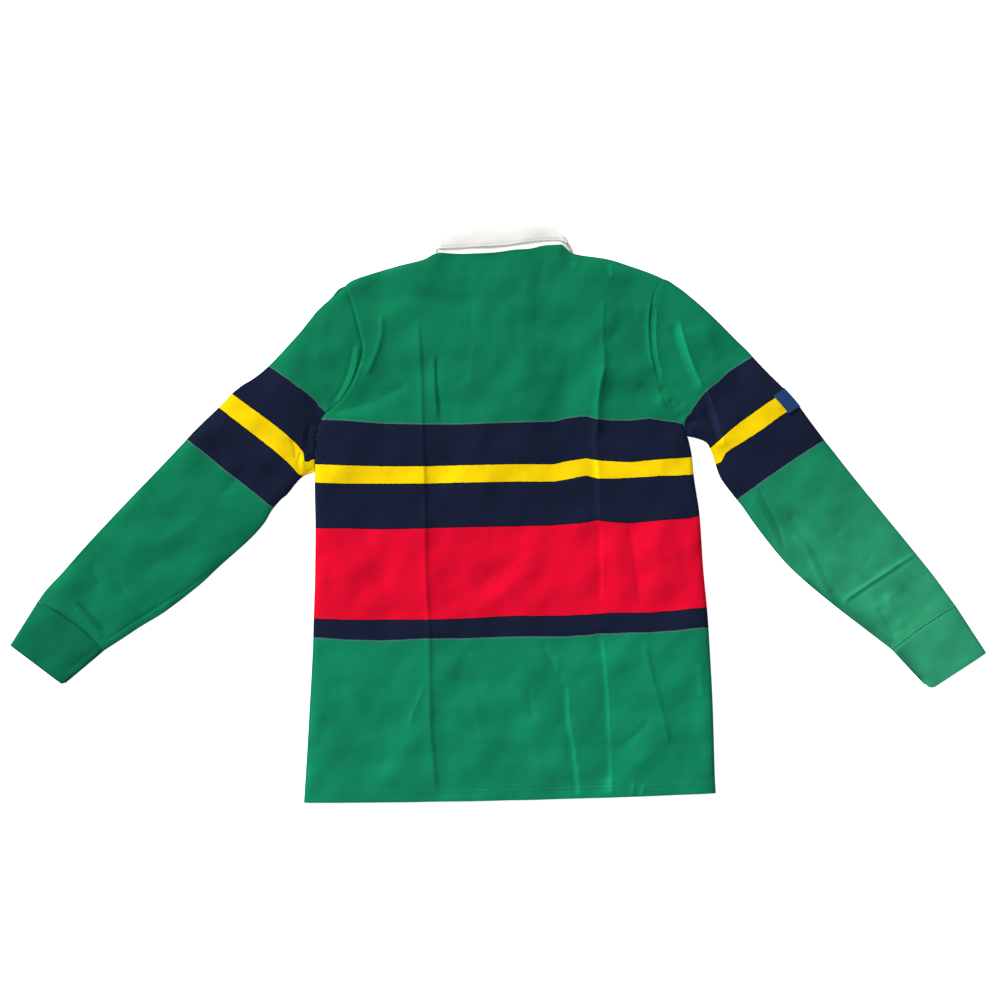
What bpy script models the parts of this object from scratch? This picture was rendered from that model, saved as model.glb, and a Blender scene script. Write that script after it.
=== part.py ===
"""A long-sleeved rugby polo shirt, laid out flat on its front, with its back showing.

Every size below is in millimetres, x from the middle of the shirt and y up from its hem. The
finished objects are in metres, +Z up, with the origin under the middle of the laid-out shirt.
The cloth lies in two layers: the front on the ground, the back on it, with air and folds between.
Left and right are those of the view from above, with the collar at the top.
"""

import math
from collections import namedtuple

import bpy
import numpy as np

MM = 0.001

# The walls of the cloths, the gap at a seam, and the air between two layers
JERSEY = 1.2
RIB = 1.5
TWILL = 1.3
WOVEN_LABEL = 1.0
SEAM_GAP = 0.3
FOLD_INSIDE = 0.5
AIR = 2.4
EDGE_ROLL = 9.0
HEM_DEPTH = 20.0
HEM_EXTRA = 0.7

# The colours of the yarns, as sRGB
GREEN = (0.055, 0.475, 0.325)
NAVY = (0.105, 0.125, 0.235)
YELLOW = (0.985, 0.835, 0.0)
RED = (0.905, 0.045, 0.2)
WHITE = (0.955, 0.95, 0.93)

Band = namedtuple("Band", "start end colour")
BODY_BANDS = (
    Band(0, 221, GREEN),
    Band(221, 248, NAVY),
    Band(248, 373, RED),
    Band(373, 432, NAVY),
    Band(432, 458, YELLOW),
    Band(458, 514, NAVY),
    Band(514, 760, GREEN),
)
SLEEVE_BANDS = (
    Band(0, 152, GREEN),
    Band(152, 217, NAVY),
    Band(217, 243, YELLOW),
    Band(243, 304, NAVY),
    Band(304, 596, GREEN),
)

# The body, a row for each section across it. height is measured along the cloth from the hem,
# and sag is how far the section's middle lies below the straight line between its ends.
UNDERARM = 514
SHOULDER = 703
Section = namedtuple("Section", "height left_x left_y right_x right_y sag")
BODY = (
    Section(0, -275, -4, 281, 9, 3),
    Section(20, -274, 16, 280, 29, 3),
    Section(117, -269, 113, 276, 122, 4),
    Section(221, -264, 219, 270, 234, 5),
    Section(248, -264, 246, 269, 261, 5),
    Section(373, -261, 371, 260, 386, 6),
    Section(432, -262, 431, 251, 441, 5),
    Section(458, -262, 457, 249, 466, 5),
    Section(UNDERARM, -256, 515, 241, 505, -1),
    Section(545, -226, 545, 215, 541, -2),
    Section(581, -206, 582, 202, 578, 0),
    Section(613, -198, 613, 192, 613, 0),
    Section(645, -204, 642, 190, 650, 0),
    Section(675, -212, 672, 195, 685, 0),
    Section(SHOULDER, -223, 699, 212, 707, 0),
)

# The neck hole: its middle and half width, and how deep the front is cut below its two sides
NECK_X = -5.0
NECK_HALF = 90.5
NECK_SIDE_Y = 744.0
FRONT_NECK_DEPTH = 88.0
Point = namedtuple("Point", "x y")
BACK_TOP = (
    Point(-223, 699),
    Point(-190, 713),
    Point(-150, 724),
    Point(-112, 735),
    Point(-95.5, 744),
    Point(-60, 745),
    Point(-14, 748),
    Point(53, 756),
    Point(72, 755),
    Point(85.5, 744),
    Point(136, 734),
    Point(170, 723),
    Point(195, 713),
    Point(212, 707),
)

# The sleeves, a row for each section from the shoulder to the cuff. along is measured down the
# outer fold, and bow is how far the section's middle is pushed back towards the shoulder.
Arm = namedtuple("Arm", "along outer_x outer_y inner_x inner_y bow")
LEFT_SLEEVE = (
    Arm(58, -264, 658, -257.5, 512.5, 26),
    Arm(152, -325, 590, -259.5, 508, 3),
    Arm(217, -371, 551, -267, 464, 2),
    Arm(243, -391, 532, -279, 440, 2),
    Arm(304, -437, 488, -318, 398.5, 3),
    Arm(365, -481, 443, -345, 364, 3),
    Arm(427, -525, 397, -405, 308, 2),
    Arm(513, -585, 332, -477, 252, 3),
    Arm(596, -639, 268, -551, 205, 6),
)
RIGHT_SLEEVE = (
    Arm(50, 252.5, 681, 242, 502, 24),
    Arm(152, 333, 601, 246, 494, 2),
    Arm(217, 376, 556, 273, 483, 1),
    Arm(243, 394, 536, 290, 461, 1),
    Arm(304, 430, 486, 308, 413, 1),
    Arm(365, 466, 441, 345, 364, 2),
    Arm(427, 502, 397, 386, 318, 2),
    Arm(513, 556, 331, 452, 261, 1),
    Arm(596, 609, 263, 524, 205, 2),
)
CUFF_LENGTH = 73.0
LEFT_CUFF_END = Arm(669, -676, 211, -607, 160, 0)
RIGHT_CUFF_END = Arm(669, 651, 200, 571, 152, 0)

# The collar, a row for each place round it. phi goes from the left side of the neck (-90) to the
# right (90), over the back and again under the front. fold is its top edge, edge its free edge.
Collar = namedtuple("Collar", "phi fold_x fold_y edge_x edge_y")
COLLAR_BACK = (
    Collar(-90, -87, 764, -97, 751),
    Collar(-66, -77, 774, -87, 749),
    Collar(-30, -42, 782, -46, 750.5),
    Collar(0, 0, 785.5, -4, 754.5),
    Collar(30, 38, 788.5, 38, 760),
    Collar(60, 59, 782, 67, 761),
    Collar(78, 72, 770, 81, 756.5),
    Collar(90, 78, 763, 88, 751),
)
COLLAR_FRONT = (
    Collar(-90, -87, 764, -97, 751),
    Collar(-75, -83, 750, -108, 736),
    Collar(-66, -78, 732, -112, 700),
    Collar(-30, -45, 694, -92, 641),
    Collar(-4, -11, 684, -66, 606),
    Collar(4, 1, 684, 56, 606),
    Collar(30, 35, 694, 82, 641),
    Collar(66, 68, 732, 102, 700),
    Collar(75, 73, 750, 99, 736),
    Collar(90, 78, 763, 88, 751),
)
# The height of the fold's middle at the back, the step from stand to leaf, how far the leaf
# under the front lifts it, the gap from the stand's upper edge to the leaf's root, and the angles
# between which the collar turns from the back to the front and at which it ends
STAND_FOLD_Z = 7.0
LEAF_STEP = 2.5
COLLAR_LIFT = 2.6
COLLAR_SPREAD = Point(132, 112)
COLLAR_MIDDLE_Y = 692.0
SEAM_TO_LEAF = 2.2
SIDE_TURN = (75.0, 105.0)
COLLAR_END = 176.0

# The placket on the front and its buttons
PLACKET_HALF = 17.0
PLACKET_TOP_Y = 654.0
PLACKET_LENGTH = 165.0
PLACKET_LIFT = 3.8
BUTTON_RADIUS = 6.0
BUTTON_THICK = 1.8
BUTTON_RIM = 0.5
BUTTON_BEVEL = 1.0
BUTTON_SIDES = 20
BUTTON_DROPS = (14.0, 72.0, 130.0)

# The woven label, laid over the outer fold of the right sleeve
LABEL_ALONG = (212.0, 246.0)
LABEL_REACH = 18.0
LABEL_MIDDLE = Point(386, 546)
LABEL_LIFT = 1.4
LABEL_BLUE = (0.14, 0.24, 0.5)

# The largest folds, each a soft ridge (rise above 0) or trough from one point to another. bend is
# how far its middle is pushed to its left.
Fold = namedtuple("Fold", "x0 y0 x1 y1 bend rise width")
FOLDS = (
    # The two creases from folding the shirt in three
    Fold(-119, 640, -114, 380, 3, 2.3, 10),
    Fold(-114, 380, -98, -20, -3, 2.3, 10),
    Fold(139, 740, 119, 520, 4, 2.0, 10),
    Fold(119, 520, 143, -20, 4, 2.5, 10),
    # The pleat beside the left crease and the pulls from the two underarms
    Fold(-100, 606, -92, 515, 0, -1.9, 8),
    Fold(-168, 665, -196, 572, 6, 1.8, 9),
    Fold(-246, 524, -160, 566, 0, -2.0, 14),
    Fold(-209, 632, -246, 532, 7, 1.8, 9),
    Fold(-236, 680, -262, 582, 0, 1.2, 16),
    Fold(232, 650, 291, 500, 6, 3.2, 11),
    Fold(222, 640, 262, 540, 6, -1.6, 12),
    Fold(258, 650, 296, 584, 0, 1.5, 13),
    # The soft drapes of the back and of its lower part
    Fold(-162, 700, -30, 672, 0, -1.4, 18),
    Fold(92, 640, 82, 545, 0, 1.4, 15),
    Fold(8, 336, -86, 266, 0, -1.2, 14),
    Fold(32, 336, -52, 254, 0, 1.3, 14),
    Fold(170, 380, 182, 262, 0, -1.5, 13),
    Fold(198, 400, 196, 272, 0, 1.3, 13),
    Fold(79, 165, 97, -10, 4, 2.0, 9),
    Fold(190, 212, 220, 80, 0, 1.5, 11),
    Fold(-236, 142, -168, 48, -8, -1.3, 18),
    Fold(-66, 210, -40, 80, 8, 1.1, 16),
    # The sleeves: long drags, and the crease across the right forearm
    Fold(-340, 480, -402, 410, 0, -1.3, 14),
    Fold(-406, 402, -496, 332, 0, 1.4, 15),
    Fold(-283, 480, -300, 430, 0, 1.8, 9),
    Fold(-566, 320, -520, 268, 0, -1.2, 13),
    Fold(346, 432, 424, 334, 4, 2.2, 10),
    Fold(338, 420, 394, 328, 4, -1.6, 9),
    Fold(424, 334, 460, 262, 0, 1.7, 10),
    Fold(556, 332, 458, 260, 0, -2.1, 9),
    Fold(596, 210, 600, 158, 0, 1.2, 12),
)

# How finely the solids are drawn
STEP_ALONG_BACK = 26.0
STEP_ALONG_FRONT = 60.0
STEP_ALONG_SLEEVE = 32.0
BACK_COLUMNS = 8
FRONT_COLUMNS = 4
NECK_COLUMNS = 12
ARMHOLE_ROWS = 12
CUFF_COLUMNS = 8
TURN = (0.0, 0.45, 1.0)
FOLD_OUTSIDE = FOLD_INSIDE + JERSEY


def smooth(stations, values, at):
    """The values at any place along a table, on a curve through its rows that never overshoots."""
    stations = np.asarray(stations, float)
    values = np.asarray(values, float)
    at = np.asarray(at, float)
    rise = np.diff(values) / np.diff(stations)
    slope = np.zeros(len(values))
    same_way = rise[:-1] * rise[1:] > 0
    both = np.where(same_way, rise[:-1] + rise[1:], 1.0)
    slope[1:-1] = np.where(same_way, 2 * rise[:-1] * rise[1:] / both, 0.0)
    slope[0], slope[-1] = rise[0], rise[-1]
    i = np.clip(np.searchsorted(stations, at, side="right") - 1, 0, len(rise) - 1)
    step = stations[i + 1] - stations[i]
    t = np.clip((at - stations[i]) / step, 0, 1)
    return (
        values[i] * (1 + 2 * t) * (1 - t) ** 2
        + values[i + 1] * t * t * (3 - 2 * t)
        + step * (slope[i] * t * (1 - t) ** 2 - slope[i + 1] * t * t * (1 - t))
    )


def column(table, name):
    """One named column of a table, as an array."""
    return np.array([getattr(row, name) for row in table], float)


def fade(distance, reach):
    """1 at distance 0 or less, falling smoothly to 0 at reach."""
    t = np.clip(np.asarray(distance, float) / reach, 0, 1)
    return 1 - t * t * (3 - 2 * t)


def edge_distance(x, y, line):
    """How far each point lies from a line through the given points."""
    best = np.full(np.shape(x), np.inf)
    for (ax, ay), (bx, by) in zip(line[:-1], line[1:]):
        dx, dy = bx - ax, by - ay
        t = np.clip(((x - ax) * dx + (y - ay) * dy) / (dx * dx + dy * dy), 0, 1)
        best = np.minimum(best, np.hypot(x - ax - t * dx, y - ay - t * dy))
    return best


def armhole(side, height):
    """The x and y of an armhole seam, or of the side seam below it, at a height up the cloth."""
    heights = column(BODY, "height")
    x = smooth(heights, column(BODY, f"{side}_x"), height)
    y = smooth(heights, column(BODY, f"{side}_y"), height)
    return x, y


def body_plan(across, height, top):
    """Where a point of a body panel lies: across goes from 0 at the left to 1 at the right."""
    left_x, left_y = armhole("left", height)
    right_x, right_y = armhole("right", height)
    x = left_x + across * (right_x - left_x)
    y = left_y + across * (right_y - left_y)
    sag = smooth(column(BODY, "height"), column(BODY, "sag"), height)
    y = y - sag * 4 * across * (1 - across)
    near_top = np.clip((height - UNDERARM) / (SHOULDER - UNDERARM), 0, 1)
    return x, y + near_top**1.5 * top(across)


def rise_of_top(x_of, y_of):
    """How far a panel's top edge stands above the line between its two shoulder points."""
    first, last = BODY[-1].left_x, BODY[-1].right_x
    across = (np.array(x_of, float) - first) / (last - first)
    line = BODY[-1].left_y + across * (BODY[-1].right_y - BODY[-1].left_y)
    return across, np.array(y_of, float) - line


def back_top(across):
    places, rises = rise_of_top(column(BACK_TOP, "x"), column(BACK_TOP, "y"))
    return smooth(places, rises, across)


def front_top(across):
    """The shoulders of the back, with a deeper hollow between the sides of the neck."""
    places, _ = rise_of_top([NECK_X - NECK_HALF, NECK_X + NECK_HALF], [0, 0])
    middle, half = sum(places) / 2, (places[1] - places[0]) / 2
    sine = np.clip((across - middle) / half, -1, 1)
    x = NECK_X + NECK_HALF * sine
    y = NECK_SIDE_Y - FRONT_NECK_DEPTH * np.sqrt(1 - sine**2)
    inside = np.abs(across - middle) < half - 1e-6
    return np.where(inside, rise_of_top(x, y)[1], back_top(across))


def neck_angles():
    return np.linspace(-90, 90, NECK_COLUMNS + 1)


def panel_columns(each_shoulder):
    """Where a panel's columns stand, closest at the neck's sides, where the two creases fall."""
    ends, _ = rise_of_top([NECK_X - NECK_HALF, NECK_X + NECK_HALF], [0, 0])
    ramp = np.sin(np.linspace(0, math.pi / 2, each_shoulder + 1))
    middle, half = sum(ends) / 2, (ends[1] - ends[0]) / 2
    neck = middle + half * np.sin(np.radians(neck_angles()))
    right = 1 - (1 - ends[1]) * ramp[::-1]
    return np.concatenate([ends[0] * ramp[:-1], neck, right[1:]])


def panel_heights(step):
    """The rows of a panel: every section of the table, with more between those that are far apart."""
    heights = [0.0]
    for low, high in zip(BODY[:-1], BODY[1:]):
        if high.height > UNDERARM:
            break
        cells = max(1, math.ceil((high.height - low.height) / step))
        heights += list(np.linspace(low.height, high.height, cells + 1)[1:])
    return np.array(heights + list(np.linspace(UNDERARM, SHOULDER, ARMHOLE_ROWS + 1)[1:]))


def under(x, y):
    """How far the lower layer is held off the ground: by the placket, the collar and the label."""
    beside = np.abs(x - NECK_X) - PLACKET_HALF - 5
    beyond = np.maximum(PLACKET_TOP_Y - PLACKET_LENGTH - 30 - y, y - PLACKET_TOP_Y - 40)
    placket = fade(np.hypot(np.maximum(beside, 0), np.maximum(beyond, 0)), 60)
    from_neck = np.hypot((x - NECK_X) / COLLAR_SPREAD.x, (y - COLLAR_MIDDLE_Y) / COLLAR_SPREAD.y)
    collar = fade((from_neck - 1) * (COLLAR_SPREAD.x + COLLAR_SPREAD.y) / 2, 42)
    label = fade(np.hypot(x - LABEL_MIDDLE.x, y - LABEL_MIDDLE.y) - 45, 30)
    lifts = (PLACKET_LIFT * placket, COLLAR_LIFT * collar, LABEL_LIFT * label)
    return np.max(lifts, axis=0)


def fold_relief(x, y):
    """The ridges and troughs of the upper layer."""
    total = np.zeros(np.shape(x))
    for fold in FOLDS:
        dx, dy = fold.x1 - fold.x0, fold.y1 - fold.y0
        length = math.hypot(dx, dy)
        t = ((x - fold.x0) * dx + (y - fold.y0) * dy) / length**2
        aside = ((x - fold.x0) * dy - (y - fold.y0) * dx) / length
        aside = aside + fold.bend * 4 * t * (1 - t)
        ends = fade(-t * length, 18) * fade((t - 1) * length, 18)
        total = total + fold.rise * np.exp(-((aside / fold.width) ** 2)) * ends
    return total


def folded_edges():
    """The edges where the shirt's upper layer turns down into its lower one, as lines."""
    lines = [side_line("left"), side_line("right")] + shoulder_lines()
    return lines + arm_edges("left", LEFT_SLEEVE) + arm_edges("right", RIGHT_SLEEVE)


def upper(x, y):
    """The height of the upper layer's inner face, low along the folded edges."""
    distance = np.min([edge_distance(x, y, line) for line in folded_edges()], axis=0)
    puff = (AIR + fold_relief(x, y)) * (1 - np.exp(-distance / EDGE_ROLL))
    return under(x, y) + JERSEY + 2 * FOLD_INSIDE + np.maximum(puff, 0)


def turned(layer, radius, turn, low, high):
    """The inset from a folded edge, and the height, of a wall face that rolls round that edge.

    layer is 1 for the upper cloth and -1 for the lower one. radius is FOLD_INSIDE on the inner
    face and FOLD_OUTSIDE on the outer one. turn is 0 on the edge and 1 on the flat. low and high
    are the heights of the two layers' undersides.
    """
    angle = turn * math.pi / 2
    inset = FOLD_OUTSIDE - radius * np.cos(angle)
    middle = low + FOLD_OUTSIDE
    thick = radius - FOLD_INSIDE
    flat = high + thick if layer > 0 else low + JERSEY - thick
    return inset, middle + (flat - middle) * np.sin(angle)


def grid_faces(rows, columns, cyclic):
    """The corners of a grid's cells, and of the rim that joins it to a second grid behind it."""
    count = rows * columns
    wide = columns if cyclic else columns - 1
    faces, bands = [], []
    for r in range(rows - 1):
        for c in range(wide):
            d = (c + 1) % columns
            cell = (r * columns + c, r * columns + d, (r + 1) * columns + d, (r + 1) * columns + c)
            faces += [cell, tuple(count + i for i in reversed(cell))]
            bands += [r, r]
    rim = [(c, (c + 1) % columns, 0) for c in range(wide)]
    last = (rows - 1) * columns
    rim += [(last + (c + 1) % columns, last + c, rows - 2) for c in range(wide)]
    if not cyclic:
        rim += [((r + 1) * columns, r * columns, r) for r in range(rows - 1)]
        right = columns - 1
        rim += [(r * columns + right, (r + 1) * columns + right, r) for r in range(rows - 1)]
    faces += [(b, a, count + a, count + b) for a, b, _ in rim]
    bands += [band for _, _, band in rim]
    return faces, bands


def material(name, colour, roughness=0.9):
    """A dull cloth, or other plain surface, of one sRGB colour."""
    made = bpy.data.materials.new(name)
    made.use_nodes = True
    shader = made.node_tree.nodes["Principled BSDF"]
    linear = [c / 12.92 if c < 0.04045 else ((c + 0.055) / 1.055) ** 2.4 for c in colour]
    shader.inputs["Base Color"].default_value = (*linear, 1.0)
    shader.inputs["Roughness"].default_value = roughness
    shader.inputs["Metallic"].default_value = 0.0
    made.diffuse_color = (*linear, 1.0)
    return made


def put_in_scene(mesh):
    """Shades a finished mesh and links an object of its name."""
    mesh.shade_smooth()
    mesh.set_sharp_from_angle(angle=math.radians(50))
    bpy.context.scene.collection.objects.link(bpy.data.objects.new(mesh.name, mesh))


def volume(points, faces):
    """The volume inside a closed skin, below 0 where its faces look inwards."""
    total = 0.0
    for face in faces:
        a, b, c, d = (points[i] for i in face)
        total += np.dot(a, np.cross(b, c)) + np.dot(a, np.cross(c, d))
    return total / 6


def wall(name, outer, inner, materials, cyclic=False, band_of_row=None):
    """A closed wall between two grids of points, rows x columns x 3, in millimetres."""
    rows, columns = outer.shape[:2]
    faces, bands = grid_faces(rows, columns, cyclic)
    points = np.concatenate([outer.reshape(-1, 3), inner.reshape(-1, 3)]) * MM
    if volume(points, faces) < 0:
        faces = [face[::-1] for face in faces]
    mesh = bpy.data.meshes.new(name)
    mesh.from_pydata(points.tolist(), [], faces)
    for each in materials:
        mesh.materials.append(each)
    if band_of_row is not None:
        mesh.polygons.foreach_set("material_index", [band_of_row[b] for b in bands])
    put_in_scene(mesh)


def banded(name, bands, heights):
    """A material for each yarn colour in the bands, and the one that each row of cells takes."""
    colours = list(dict.fromkeys(band.colour for band in bands))
    names = {GREEN: "green", NAVY: "navy", YELLOW: "yellow", RED: "red"}
    made = [material(f"{name}_{names[colour]}", colour) for colour in colours]
    middles = (heights[:-1] + heights[1:]) / 2
    starts = column(bands, "start")
    index = np.clip(np.searchsorted(starts, middles, side="right") - 1, 0, len(bands) - 1)
    return made, [colours.index(bands[i].colour) for i in index]


def side_line(side):
    heights = np.linspace(0, UNDERARM, 24)
    return list(zip(*armhole(side, heights)))


def shoulder_lines():
    points = [(p.x, p.y) for p in BACK_TOP]
    left = [p for p in points if p[0] <= NECK_X - NECK_HALF]
    return [left, [p for p in points if p[0] >= NECK_X + NECK_HALF]]


def body_panel(name, layer, top, step, each_shoulder):
    """The back (layer 1) or the front (layer -1), from side seam to side seam and hem to neck."""
    columns, heights = panel_columns(each_shoulder), panel_heights(step)
    # The columns and rows beside a turned edge, then the plain ones
    edge = list(TURN[:-1])
    across = np.concatenate([[0] * len(edge), columns, [1] * len(edge)])
    side_turn = np.concatenate([edge, np.ones(len(columns)), edge[::-1]])
    up = np.concatenate([heights, [SHOULDER] * len(edge)])
    top_turn = np.concatenate([np.ones(len(heights)), edge[::-1]])
    across, up = np.meshgrid(across, up)
    side_turn, top_turn = np.meshgrid(side_turn, top_turn)

    x, y = body_plan(across, up, top)
    on_side = up < UNDERARM + 1
    places, _ = rise_of_top([NECK_X - NECK_HALF, NECK_X + NECK_HALF], [0, 0])
    on_shoulder = (across <= places[0] + 1e-6) | (across >= places[1] - 1e-6)
    way_in = np.where(across < 0.5, 1.0, -1.0)

    grids = []
    for radius in (FOLD_OUTSIDE, FOLD_INSIDE):
        low, high = under(x, y), upper(x, y)
        if layer > 0 and radius == FOLD_OUTSIDE:
            high = high + HEM_EXTRA * (up < HEM_DEPTH)
        inset_side, z_side = turned(layer, radius, np.where(on_side, side_turn, 1), low, high)
        inset_top, z_top = turned(layer, radius, np.where(on_shoulder, top_turn, 1), low, high)
        _, z_flat = turned(layer, radius, 1.0, low, high)
        middle = low + FOLD_OUTSIDE
        share = (z_side - middle) * (z_top - middle) / np.where(z_flat == middle, 1, z_flat - middle)
        # The seam gap parts the two layers where they meet at an edge
        turn = np.where(on_side, side_turn, 1) * np.where(on_shoulder, top_turn, 1)
        z = middle + share + layer * (1 - turn) * SEAM_GAP / 2
        inset_side = np.where(on_side, inset_side, FOLD_OUTSIDE * side_turn)
        inset_side = inset_side * (across * (1 - across) == 0)
        inset_top = np.where(on_shoulder, inset_top, FOLD_OUTSIDE * top_turn)
        inset_top = inset_top * (up >= SHOULDER)
        grids.append(np.stack([x + way_in * inset_side, y - inset_top, z], axis=2))
    row_heights = np.append(heights, [SHOULDER + 1] * len(edge))
    made, bands = banded(name, BODY_BANDS, row_heights)
    wall(name, grids[0], grids[1], made, band_of_row=bands)


def arm_section(side, row, share):
    """The x and y of a sleeve's section, at shares of the way from its outer to its inner fold."""
    dx, dy = row.inner_x - row.outer_x, row.inner_y - row.outer_y
    back = row.bow * 4 * share * (1 - share) / math.hypot(dx, dy)
    towards_body = 1 if side == "left" else -1
    x = row.outer_x + share * dx - towards_body * back * dy
    y = row.outer_y + share * dy + back * abs(dx)
    return x, y


def sleeve_plan(side, table, shares, alongs):
    """Where the points of a sleeve lie, a row for each along and a column for each share."""
    shares, alongs = np.asarray(shares, float), np.asarray(alongs, float)
    seam_x, seam_y = armhole(side, SHOULDER - shares * (SHOULDER - UNDERARM))
    gap = SEAM_GAP + 0.1
    sections = [(seam_x - gap if side == "left" else seam_x + gap, seam_y)]
    sections += [arm_section(side, row, shares) for row in table]
    stations = np.concatenate([[0], column(table, "along")])
    x, y = (
        np.stack([smooth(stations, [s[k][c] for s in sections], alongs) for c in range(len(shares))], 1)
        for k in (0, 1)
    )
    return x, y


def tube(plan, radii, cells):
    """The faces of a flattened tube at each radius, with a ring of columns for each row.

    plan gives each row's x and y at a share of the way across. The ring runs along the top from
    the outer fold to the underarm one, and back along the bottom.
    """
    edge = list(TURN[:-1])
    flat = [(s, 1.0) for s in np.linspace(0, 1, cells + 1)]
    top = [(0.0, t) for t in edge] + flat + [(1.0, t) for t in edge[::-1]]
    ring = [(s, t, 1) for s, t in top] + [(s, t, -1) for s, t in top[-2:0:-1]]
    shares = np.array([s for s, _, _ in ring])
    turns = np.array([t for _, t, _ in ring])
    layers = np.array([layer for _, _, layer in ring])
    x, y = plan(shares)
    x0, y0 = plan(np.zeros(1))
    x1, y1 = plan(np.ones(1))
    length = np.hypot(x1 - x0, y1 - y0)
    along_x, along_y = (x1 - x0) / length, (y1 - y0) / length
    low, high = under(x, y), upper(x, y)
    faces = []
    for radius in radii:
        inset, up = turned(1, radius, turns, low, high)
        _, down = turned(-1, radius, turns, low, high)
        inset = np.where(shares == 0, inset, np.where(shares == 1, -inset, 0))
        z = np.where(layers > 0, up, down)
        faces.append(np.stack([x + inset * along_x, y + inset * along_y, z], axis=2))
    return faces


def arm_edges(side, table):
    """The two folded edges of a sleeve, as lines."""
    x, y = sleeve_plan(side, table, (0, 1), np.linspace(0, table[-1].along, 30))
    return [list(zip(x[:, edge], y[:, edge])) for edge in (0, 1)]


def sleeve(side, table):
    """A flattened tube from the armhole seam to the cuff seam."""
    stations = [0.0] + list(column(table, "along"))
    rows = [0.0]
    for low, high in zip(stations[:-1], stations[1:]):
        cells = max(1, math.ceil((high - low) / STEP_ALONG_SLEEVE))
        rows += list(np.linspace(low, high, cells + 1)[1:])
    rows = np.array(rows)

    def plan(shares):
        return sleeve_plan(side, table, shares, rows)

    outer, inner = tube(plan, (FOLD_OUTSIDE, FOLD_INSIDE), ARMHOLE_ROWS)
    made, bands = banded(f"sleeve_{side}", SLEEVE_BANDS, rows)
    wall(f"sleeve_{side}", outer, inner, made, cyclic=True, band_of_row=bands)


def cuff(side, table, end):
    """A short tube of rib, sewn to the end of the sleeve."""
    parts = np.linspace(SEAM_GAP / CUFF_LENGTH, 1, 4)[:, None]

    def plan(shares):
        from_x, from_y = arm_section(side, table[-1], shares)
        to_x, to_y = arm_section(side, end, shares)
        return from_x + parts * (to_x - from_x), from_y + parts * (to_y - from_y)

    outer, inner = tube(plan, (FOLD_OUTSIDE, FOLD_OUTSIDE - RIB), CUFF_COLUMNS)
    wall(f"cuff_{side}", outer, inner, [material(f"cuff_{side}_rib", GREEN)], cyclic=True)


def tangents(points, axis):
    """The way that a grid runs at each point: the mean of the ways to its two neighbours."""
    steps = np.diff(points, axis=axis)
    steps = steps / np.linalg.norm(steps, axis=-1, keepdims=True)
    first = np.take(steps, [0], axis=axis)
    last = np.take(steps, [-1], axis=axis)
    return np.concatenate([first, steps], axis=axis) + np.concatenate([steps, last], axis=axis)


def skin(middle, thick):
    """The two faces of a wall, half its thickness to each side of a grid of points."""
    normal = np.cross(tangents(middle, 1), tangents(middle, 0))
    normal = normal / np.linalg.norm(normal, axis=2, keepdims=True)
    return middle + normal * thick / 2, middle - normal * thick / 2


def collar_angles():
    """Round the neck from one side of the placket to the other, closest where the collar folds."""
    plain = neck_angles()
    step = plain[1] - plain[0]
    low, high = SIDE_TURN
    back = [a for a in plain if abs(a) <= low]
    side = list(np.linspace(low, high, 7)[1:-1])
    front = list(np.arange(high, 180 - step / 2, step)) + [COLLAR_END]
    right = side + front
    return np.array([-a for a in right[::-1]] + back + right)


def collar_curve(angle, name):
    """One column of the collar's tables at angles that go on past the sides to the front."""
    back = np.clip(angle, -90, 90)
    over = np.abs(angle) > 90
    front = np.sign(angle) * (180 - np.abs(angle))
    on_back = smooth(column(COLLAR_BACK, "phi"), column(COLLAR_BACK, name), back)
    on_front = smooth(column(COLLAR_FRONT, "phi"), column(COLLAR_FRONT, name), front)
    return np.where(over, on_front, on_back)


def neck_seam(angle):
    """The x and y of the neck's edge, moved a seam's gap away from the panels' own edges.

    Round the sides, where the neckband stands on edge, it keeps clear by its own thickness too.
    """
    ends, _ = rise_of_top([NECK_X - NECK_HALF, NECK_X + NECK_HALF], [0, 0])
    across = sum(ends) / 2 + (ends[1] - ends[0]) / 2 * np.sin(np.radians(neck_angles()))
    back = np.stack(body_plan(across, SHOULDER, back_top), axis=1)
    front = np.stack(body_plan(across, SHOULDER, front_top), axis=1)[::-1]
    to_hole = np.array([[0, 1], [-1, 0]])
    back_way, front_way = tangents(back, 0) @ to_hole, -tangents(front, 0) @ to_hole
    # The front's angles go on from the right side, at 90, to the left one, at 270
    over = (np.abs(angle) > 90)[:, None]
    at_back = np.clip(angle, -90, 90)
    at_front = np.clip(np.where(angle < 0, angle + 360, angle), 90, 270)

    def read(table, stations, at):
        return np.stack([np.interp(at, stations, table[:, k]) for k in (0, 1)], axis=1)

    stations = neck_angles()
    edge = np.where(over, read(front, stations + 180, at_front), read(back, stations, at_back))
    share = side_share(angle)[:, None]
    aside = 4 * share * (1 - share)
    way = (1 - share) * read(back_way, stations, at_back)
    way = way + share * read(front_way, stations + 180, at_front) + aside * np.array([0, 1.5])
    way = way / np.linalg.norm(way, axis=1, keepdims=True)
    edge = edge + way * (SEAM_GAP + 0.1 + 0.75 * TWILL * aside)
    return edge[:, 0], edge[:, 1]


def side_share(angle):
    """0 on the collar's back, 1 on its front, and in between where it folds at the sides."""
    low, high = SIDE_TURN
    return 1 - fade(np.abs(angle) - low, high - low)


def outward(angle):
    """The way from the stand to the leaf: up on the back, aside at the sides, down in front."""
    turn = side_share(angle) * math.pi
    return np.stack([np.sign(angle) * np.sin(turn), 0 * turn, np.cos(turn)], axis=-1)


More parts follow.
